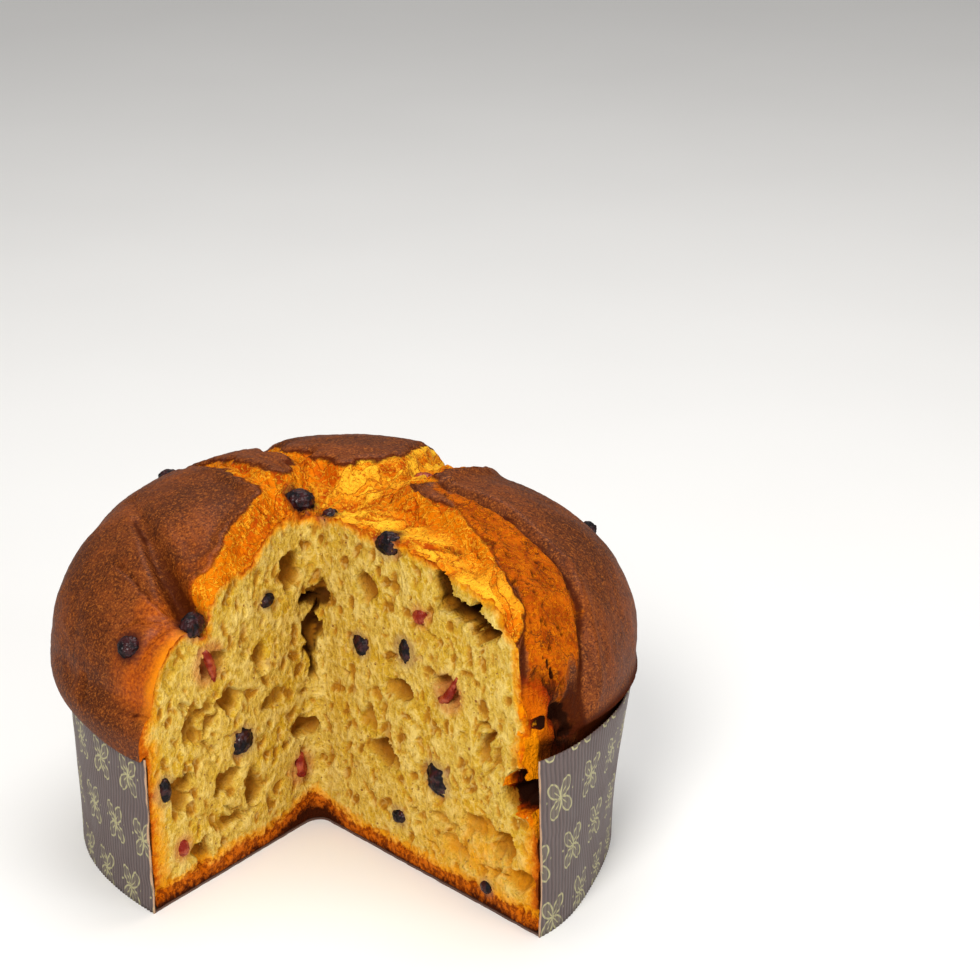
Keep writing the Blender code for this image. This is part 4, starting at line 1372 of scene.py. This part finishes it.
def fruit_piece(node, seed, material, wrinkle, slot):
    """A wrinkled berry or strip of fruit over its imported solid."""
    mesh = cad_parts[node].data.copy()
    mesh.name = "fine_" + node
    work = bmesh.new()
    work.from_mesh(mesh)
    bmesh.ops.remove_doubles(work, verts=work.verts, dist=0.01 * MM)
    work.to_mesh(mesh)
    work.free()
    mesh.materials.clear()
    mesh.materials.append(material)
    piece = new_object("fine_" + node, mesh)
    step = piece.modifiers.new("finer", "SUBSURF")
    step.levels = 3
    step.render_levels = 3
    applied(piece)
    points = points_of(piece.data)
    middle = (points.max(0) + points.min(0)) / 2.0
    spread = points - middle
    spans = np.ptp(points, axis=0)
    if slot == "red_fruit" and spans.max() > STRIP:
        axis = np.linalg.svd(spread[::7], full_matrices=False)[2][0]
        t = (spread @ axis) / (spans.max() / 2.0)
        spread[:, 2] += BEND * (t * t - 0.4) * (1.0 if seed % 2 else -1.0)
    place = spread * (FRUIT_UNITS / spans.mean()) + seed * FRUIT_APART
    rise = 1.04 + wrinkle * (0.55 * ridged(place, 2.0, 61) + 0.45 * ridged(place, 0.95, 62))
    set_points(piece.data, middle + spread * rise[:, None])
    piece.data.shade_smooth()
    return settle(piece, slot, node)


def fruit():
    """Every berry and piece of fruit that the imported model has."""
    dark = berry_finish("dark_berry_skin", BERRY_BLACK, BERRY_PLUM, BERRY_BLOOM)
    red = berry_finish("red_fruit_flesh", FRUIT_RED, FRUIT_PINK, FRUIT_BLOOM)
    for seed, node in enumerate(sorted(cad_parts)):
        if node.startswith("dark_berry"):
            fruit_piece(node, seed, dark, BERRY_WRINKLE, "dark_berry")
        elif node.startswith("red_fruit"):
            fruit_piece(node, seed, red, FRUIT_WRINKLE, "red_fruit")


# Paper mould

WALL_PAPER = 0.45
RIB_PITCH = 1.75
RIB_DEPTH = 0.16
RIB_COLUMNS = 5
WALL_LEVELS = 33
# How far the paper's cut ends wander
TORN_PAPER = 0.9
# The floor: points round it, how far it stays inside the wall, its middle and its rings
FLOOR_POINTS = 260
FLOOR_INSET = 0.9
FLOOR_MIDDLE = APEX + np.array([1.0, 16.0])
FLOOR_RINGS = (0.25, 0.5, 0.75, 1.0)


def cut_end(way, z):
    """Angle at which the paper wall meets a cut, at a height."""
    s = np.linspace(60.0, 140.0, 1600)
    plan = APEX + way * s[:, None]
    angle = angle_of(plan[:, 0], plan[:, 1])
    over = np.hypot(plan[:, 0], plan[:, 1]) - case_radius(angle, z)
    return float(angle[np.argmin(np.abs(over))])


def wall_points(columns, level, inset, start, end):
    """One row of the wall's points, at a level and so far inside the wall's outside."""
    angle = np.linspace(start, end, columns)
    radius = case_radius(angle, level) - inset
    wave = 0.35 * noise(np.stack([angle * 1.6, np.full(columns, level)], -1), 14.0, 71)
    radius = radius + wave * ease(2.0, 20.0, level) - 0.3
    tall = level * paper_top(angle) / CASE_HEIGHT
    return np.column_stack([direction(angle) * radius[:, None], tall])


def paper_wall(material):
    """The ribbed wall of the mould, from one ragged cut edge round to the other."""
    heights = CASE_HEIGHT * np.linspace(0.0, 1.0, WALL_LEVELS)
    right = np.array([cut_end(direction(RIGHT_CUT), z) for z in heights])
    left = np.array([cut_end(direction(LEFT_CUT), z) for z in heights]) + 360.0
    round_mm = math.radians(left[0] - right[0]) * CASE_FOOT
    columns = int(round_mm / RIB_PITCH) * RIB_COLUMNS + 1
    tear = np.degrees(TORN_PAPER / CASE_FOOT)
    order = [(i, 0.0) for i in range(WALL_LEVELS)] + [(i, WALL_PAPER) for i in reversed(range(WALL_LEVELS))]
    rows = []
    for i, inset in order:
        start = right[i] + tear * raggedness(heights[i], 3.0) / 3.0
        end = left[i] + tear * raggedness(heights[i], 9.0) / 3.0
        rows.append(wall_points(columns, heights[i], inset, start, end))
    points = np.concatenate(rows)
    count = len(rows)
    faces = grid_faces(count, columns, False)
    for j in range(columns - 1):
        faces.append(((count - 1) * columns + j, (count - 1) * columns + j + 1, j + 1, j))
    faces.append(tuple(i * columns for i in range(count)))
    faces.append(tuple(i * columns + columns - 1 for i in range(count)))
    wall = make_object("paper_wall", points, faces, material)
    around = np.tile(np.linspace(0.0, round_mm, columns), count)
    inner = np.repeat([float(inset > 0.0) for i, inset in order], columns)
    from_end = np.minimum(around, round_mm - around)
    mark(wall.data, around=around, height=points[:, 2], inner=inner, from_end=from_end)
    return wall


def new_tree(name, inputs):
    """A Geometry Nodes tree with named inputs, each as (name, kind of socket), and their values."""
    group = bpy.data.node_groups.new(name, "GeometryNodeTree")
    for label, kind in inputs:
        group.interface.new_socket(label, in_out="INPUT", socket_type="NodeSocket" + kind)
    group.interface.new_socket("Result", in_out="OUTPUT", socket_type="NodeSocketGeometry")
    t = Tree(group)
    start = group.nodes.new("NodeGroupInput")
    return t, [Value(t, start.outputs[i]) for i in range(len(inputs))]


def end_tree(t, shape, finish):
    """Make a tree's result real, give it its finish and return the tree."""
    real = t.node("GeometryNodeRealizeInstances", sockets={"Geometry": shape})
    done = t.node("GeometryNodeSetMaterial", sockets={"Geometry": real, "Material": finish})
    end = t.tree.nodes.new("NodeGroupOutput")
    t.tree.links.new(done.socket, end.inputs[0])
    return t.tree


def rib_tree():
    """Geometry nodes that press upright ribs into a wall along its distance round."""
    inputs = (("Wall", "Geometry"), ("Rib pitch", "Float"), ("Rib depth", "Float"), ("Paper", "Material"))
    t, (wall, pitch, depth, paper) = new_tree("upright_ribs", inputs)
    around = t.node("GeometryNodeInputNamedAttribute", {"data_type": "FLOAT"}, {"Name": "around"})
    place = t.node("GeometryNodeInputPosition")
    flat = t.scaled(place, (1.0, 1.0, 0.0))
    out = t.node("ShaderNodeVectorMath", {"operation": "NORMALIZE"}, {0: flat})
    uneven = 0.4 + t.noise(place, 130.0, 1.0) * 1.2
    press = t.ribs(place, around, pitch) * depth * uneven
    shift = t.node("ShaderNodeVectorMath", {"operation": "SCALE"}, {0: out, "Scale": press})
    moved = t.node("GeometryNodeSetPosition", sockets={"Geometry": wall, "Offset": shift})
    return end_tree(t, moved, paper)


def run_tree(obj, tree, **inputs):
    """Add a tree to an object as a modifier, set its inputs and turn the result into a plain mesh."""
    step = obj.modifiers.new(tree.name, "NODES")
    step.node_group = tree
    for item in tree.interface.items_tree:
        key = item.name.replace(" ", "_").lower()
        if item.in_out == "INPUT" and key in inputs:
            step[item.identifier] = inputs[key]
    return applied(obj)


def paper_floor(material):
    """The flat floor of the mould under the bread."""
    start = cut_end(direction(RIGHT_CUT), 0.0)
    end = cut_end(direction(LEFT_CUT), 0.0) + 360.0
    angle = np.linspace(start, end, FLOOR_POINTS)
    arc = direction(angle) * (case_radius(angle, 0.0) - FLOOR_INSET)[:, None]
    plan = cut_path()[0]
    within = np.hypot(plan[:, 0], plan[:, 1]) < case_radius(angle_of(plan[:, 0], plan[:, 1]), 0.0) - 1.5
    inner = plan[within][::3]
    inner = inner + 0.25 * noise(inner, 1.9, 75)[:, None] * np.array([0.0, 1.0])
    loop = np.concatenate([arc, inner])
    rows = []
    for height, rings in ((0.0, FLOOR_RINGS), (FLOOR_PAPER, FLOOR_RINGS[::-1])):
        for share in rings:
            ring = FLOOR_MIDDLE + (loop - FLOOR_MIDDLE) * share
            rows.append(np.column_stack([ring, np.full(len(loop), height)]))
    faces = grid_faces(len(rows), len(loop), True)
    count = len(rows) * len(loop)
    last = (len(rows) - 1) * len(loop)
    for j in range(len(loop)):
        k = (j + 1) % len(loop)
        faces.append((k, j, count))
        faces.append((last + j, last + k, count + 1))
    points = np.concatenate(rows + [np.array([[*FLOOR_MIDDLE, 0.0], [*FLOOR_MIDDLE, FLOOR_PAPER]])])
    plate = make_object("paper_floor", points, faces, material)
    mark(plate.data, around=0.0, height=0.0, inner=1.0, from_end=20.0)
    return plate


PAPER_GREY = rgb(97, 82, 79)
PAPER_DARK = rgb(69, 57, 56)
PAPER_LINE = rgb(166, 160, 116)
PAPER_INSIDE = rgb(80, 48, 32)
PAPER_CUT = rgb(184, 146, 112)

# Depth of the paper's fibres, in metres
FIBRES = 0.0002

# Floret pattern: spacing round and up, reach of a petal, width of its line, in millimetres
CELL = (17.6, 21.0)
PETAL = 7.2
LINE = 0.2
# How far each row is shifted, in cells, how far a floret turns, and how it is stretched
STAGGER = 0.42
FLORET_TURN = 0.22
FLORET_STRETCH = (1.12, 0.86)


def floret(f, around, height):
    """A plain four-petalled floret in each cell of a staggered grid, drawn as a line."""
    row = f.math("FLOOR", height / CELL[1])
    u = around / CELL[0] + row * STAGGER
    column = f.math("FLOOR", u)
    shake = f.node("ShaderNodeTexWhiteNoise", {"noise_dimensions": "1D"}, {"W": row * 7.0 + column})
    x = (u - column - 0.5) * CELL[0]
    y = (height / CELL[1] - row - 0.5) * CELL[1]
    turn = (shake - 0.5) * FLORET_TURN
    wide, tall = f.math("COSINE", turn), f.math("SINE", turn)
    px = (x * wide + y * tall) * FLORET_STRETCH[0]
    py = (y * wide - x * tall) * FLORET_STRETCH[1]
    square = f.most(px * px + py * py, 0.01)
    radius = f.math("SQRT", square)
    lobe = f.math("ABSOLUTE", px * py) * 2.0 / square
    slope = (px * px - py * py) * (2.0 * PETAL) / (square * radius)
    rim = f.math("ABSOLUTE", radius - PETAL * lobe) / f.math("SQRT", slope * slope + 1.0)
    petal = f.soft(LINE * 1.9, LINE * 0.9, rim)
    rib = f.math("ABSOLUTE", f.math("ABSOLUTE", px) - f.math("ABSOLUTE", py))
    vein = f.soft(LINE * 1.9, LINE * 0.9, rib) * f.soft(PETAL * 0.62, PETAL * 0.5, radius)
    dot_x = f.math("ABSOLUTE", px) - PETAL * 0.9
    dot_y = py - 0.7
    dots = f.soft(LINE * 2.4, LINE * 1.4, f.math("SQRT", dot_x * dot_x + dot_y * dot_y))
    fill = f.soft(0.0, 0.8, PETAL * lobe - radius) * 0.12
    return f.most(petal, vein, dots, fill)


def paper_finish():
    """Warm grey greaseproof paper with a pale printed line pattern, browned inside."""
    f = Finish("printed_paper", 0.5, Specular_IOR_Level=0.4)
    spot = f.spot()
    around, height, inner, from_end = f.marks("around", "height", "inner", "from_end")
    fibre = f.noise(f.scaled(spot, (1.0, 1.0, 0.12)), 900.0, 3.0, 0.6)
    ribs = f.ribs(spot, around, RIB_PITCH) * 0.5 + 0.5
    pattern = floret(f, around + 3.0, height + 5.5) * (1.0 - inner)
    torn_edge = f.soft(0.55, 0.25, from_end + (fibre - 0.5) * 2.4)
    colour = f.layers(
        PAPER_DARK,
        # Stripes along the ribs: painted light and shade of the pleats, mixed with the fibres' own tone
        (f.soft(0.1, 0.9, ribs * 0.4 + fibre * 0.6), PAPER_GREY),
        (pattern * f.soft(0.2, 0.5, fibre) * 0.9, PAPER_LINE),
        (inner * 0.85, PAPER_INSIDE),
        (torn_edge * 0.85, PAPER_CUT),
    )
    rough = 0.34 + fibre * 0.16
    return f.show(Base_Color=colour, Roughness=rough, Normal=f.bump(fibre, FIBRES, 0.4))


def paper_mould():
    """The mould's ribbed wall and its floor."""
    paper = paper_finish()
    wall = paper_wall(paper)
    run_tree(wall, rib_tree(), rib_pitch=RIB_PITCH, rib_depth=RIB_DEPTH * MM, paper=paper)
    wall.data.shade_smooth()
    settle(wall, "printed_paper", "paper_case")
    settle(paper_floor(paper), "printed_paper", "paper_case")


# Loose crumbs

CRUMB_BITS = 500
# Size of a loose crumb in metres, and area in square metres that the crumbs lie on
BIT_SIZE = 0.0010
CRUMBLY_AREA = 0.021
# Where they lie: behind the plain cut, and how far from the crust and the foot, in millimetres
CRUMBLY = (-1.5, 1.6)
CLEAR_OF_CRUST = 5.0
CLEAR_OF_FOOT = 7.0


def bit_tree():
    """Geometry nodes that scatter little crumbs over the faces that carry a number."""
    inputs = (
        ("Bread", "Geometry"), ("Crumb", "Object"), ("Most per square metre", "Float"), ("Size", "Float"),
        ("Seed", "Int"), ("Finish", "Material"),
    )
    t, (ground, bit, density, size, seed, finish) = new_tree("scattered_crumbs", inputs)
    share = t.node("GeometryNodeInputNamedAttribute", {"data_type": "FLOAT"}, {"Name": "crumbly"})
    sockets = {"Mesh": ground, "Density": density * share, "Seed": seed}
    spread = t.node("GeometryNodeDistributePointsOnFaces", sockets=sockets)
    shape = t.node("GeometryNodeObjectInfo", sockets={"Object": bit}, output="Geometry")
    limits = {0: (0.0, 0.0, 0.0), 1: (6.28, 6.28, 6.28), "Seed": 4}
    turn = t.node("FunctionNodeRandomValue", {"data_type": "FLOAT_VECTOR"}, limits)
    grow = t.node("FunctionNodeRandomValue", {"data_type": "FLOAT"}, {2: 0.45, 3: 1.3, "Seed": 9}, 1)
    sockets = {"Points": spread, "Instance": shape, "Rotation": turn, "Scale": grow * size}
    return end_tree(t, t.node("GeometryNodeInstanceOnPoints", sockets=sockets), finish)


def crumb_bit():
    """One ragged little crumb, a unit across."""
    work = bmesh.new()
    bmesh.ops.create_icosphere(work, subdivisions=1, radius=0.5)
    for vertex in work.verts:
        share = noise(np.array([list(vertex.co)]) * 2.3, 0.7, 81)[0]
        vertex.co *= 1.0 + 0.35 * share
        vertex.co.z *= 0.7
    mesh = bpy.data.meshes.new("crumb_bit")
    work.to_mesh(mesh)
    work.free()
    return new_object("crumb_bit", mesh)


def crumbs_finish():
    """Plain crumb in two tones."""
    f = Finish("crumb_bits", 0.8)
    grain = f.noise(f.spot(), 700.0, 2.0)
    return f.show(Base_Color=f.mix(f.soft(0.35, 0.65, grain), CRUMB_SHADE, CRUMB))


def scatter_crumbs(loaf, material):
    """Loose crumbs over the cut faces, away from the deep bubbles."""
    mesh = loaf.data.copy()
    behind = behind_cut(points_of(mesh))[0]
    level = (behind > CRUMBLY[0]) * (behind < CRUMBLY[1])
    clear = (marked(mesh, "under") > CLEAR_OF_CRUST) * (marked(mesh, "foot") > CLEAR_OF_FOOT)
    mark(mesh, crumbly=level * clear)
    ground = new_object("loose_crumbs", mesh)
    bit = crumb_bit()
    run_tree(
        ground, bit_tree(), crumb=bit, most_per_square_metre=CRUMB_BITS / CRUMBLY_AREA, size=BIT_SIZE,
        seed=5, finish=material,
    )
    bpy.data.objects.remove(bit)
    return settle(ground, "bread")


# Room

FLOOR_REACH = 3.0
FLOOR_DIM = rgb(238, 237, 235)
FLOOR_PALE = rgb(244, 243, 241)
ROOM_LIGHT = (1.0, 0.99, 0.98, 1.0)
ROOM_STRENGTH = 0.36
WHITE = (1.0, 1.0, 1.0)
# Soft round lights: name, place, width, power and colour, all turned to one point
LIT_POINT = (0.0, 0.0, 0.06)
LAMPS = (
    ("key", (-0.28, -0.88, 0.88), 0.5, 12.8, (1.0, 0.98, 0.95)),
    ("fill", (0.8, -0.7, 0.5), 0.8, 4.6, WHITE),
    ("top", (0.1, 0.35, 1.0), 0.8, 5.0, WHITE),
)
# The photo's viewpoint, in metres and degrees, and its focal length in pixels of a picture so wide
CAMERA_PLACE = (0.0, -0.92108602, 0.48975013)
CAMERA_DOWN = 21.66349906
CAMERA_TURN = -3.11499247
FOCAL_PIXELS = 3000.0
PHOTO_PIXELS = 980.0
SENSOR = 36.0


def stage(loaf_low):
    """Pale floor under the loaf."""
    mesh = bpy.data.meshes.new("floor")
    corners = [(x * FLOOR_REACH, y * FLOOR_REACH, 0.0) for x, y in ((-1, -1), (1, -1), (1, 1), (-1, 1))]
    mesh.from_pydata(corners, [], [(0, 1, 2, 3)])
    floor = new_object("floor", mesh)
    f = Finish("pale_floor", 0.6)
    grain = f.noise(f.spot(), 6.0, 2.0)
    mesh.materials.append(f.show(Base_Color=f.mix(grain, FLOOR_DIM, FLOOR_PALE)))
    floor.location.z = loaf_low


def lights():
    """The room's even light and its lamps."""
    scene = bpy.context.scene
    scene.world = bpy.data.worlds.new("room")
    scene.world.use_nodes = True
    back = scene.world.node_tree.nodes["Background"]
    back.inputs["Color"].default_value = ROOM_LIGHT
    back.inputs["Strength"].default_value = ROOM_STRENGTH
    for name, place, size, power, colour in LAMPS:
        lamp = bpy.data.lights.new(name, "AREA")
        lamp.shape = "DISK"
        lamp.size = size
        lamp.energy = power
        lamp.color = colour
        obj = new_object(name, lamp)
        obj.location = place
        obj.rotation_euler = (Vector(LIT_POINT) - Vector(place)).to_track_quat("-Z", "Y").to_euler()


def camera():
    """The photo's viewpoint."""
    lens = bpy.data.cameras.new("camera")
    lens.sensor_width = SENSOR
    lens.lens = SENSOR * FOCAL_PIXELS / PHOTO_PIXELS
    lens.clip_start = 0.01
    obj = new_object("camera", lens)
    obj.location = CAMERA_PLACE
    obj.rotation_euler = Euler((math.radians(90.0 - CAMERA_DOWN), 0.0, math.radians(CAMERA_TURN)))
    bpy.context.scene.camera = obj


def main():
    """Build the room and every piece."""
    bpy.context.scene.view_settings.view_transform = "Standard"
    camera()
    lights()
    stage(CAD_BOX[0][2])
    loaf = bread(crust_finish(), crumb_finish())
    fruit()
    paper_mould()
    scatter_crumbs(loaf, crumbs_finish())


main()
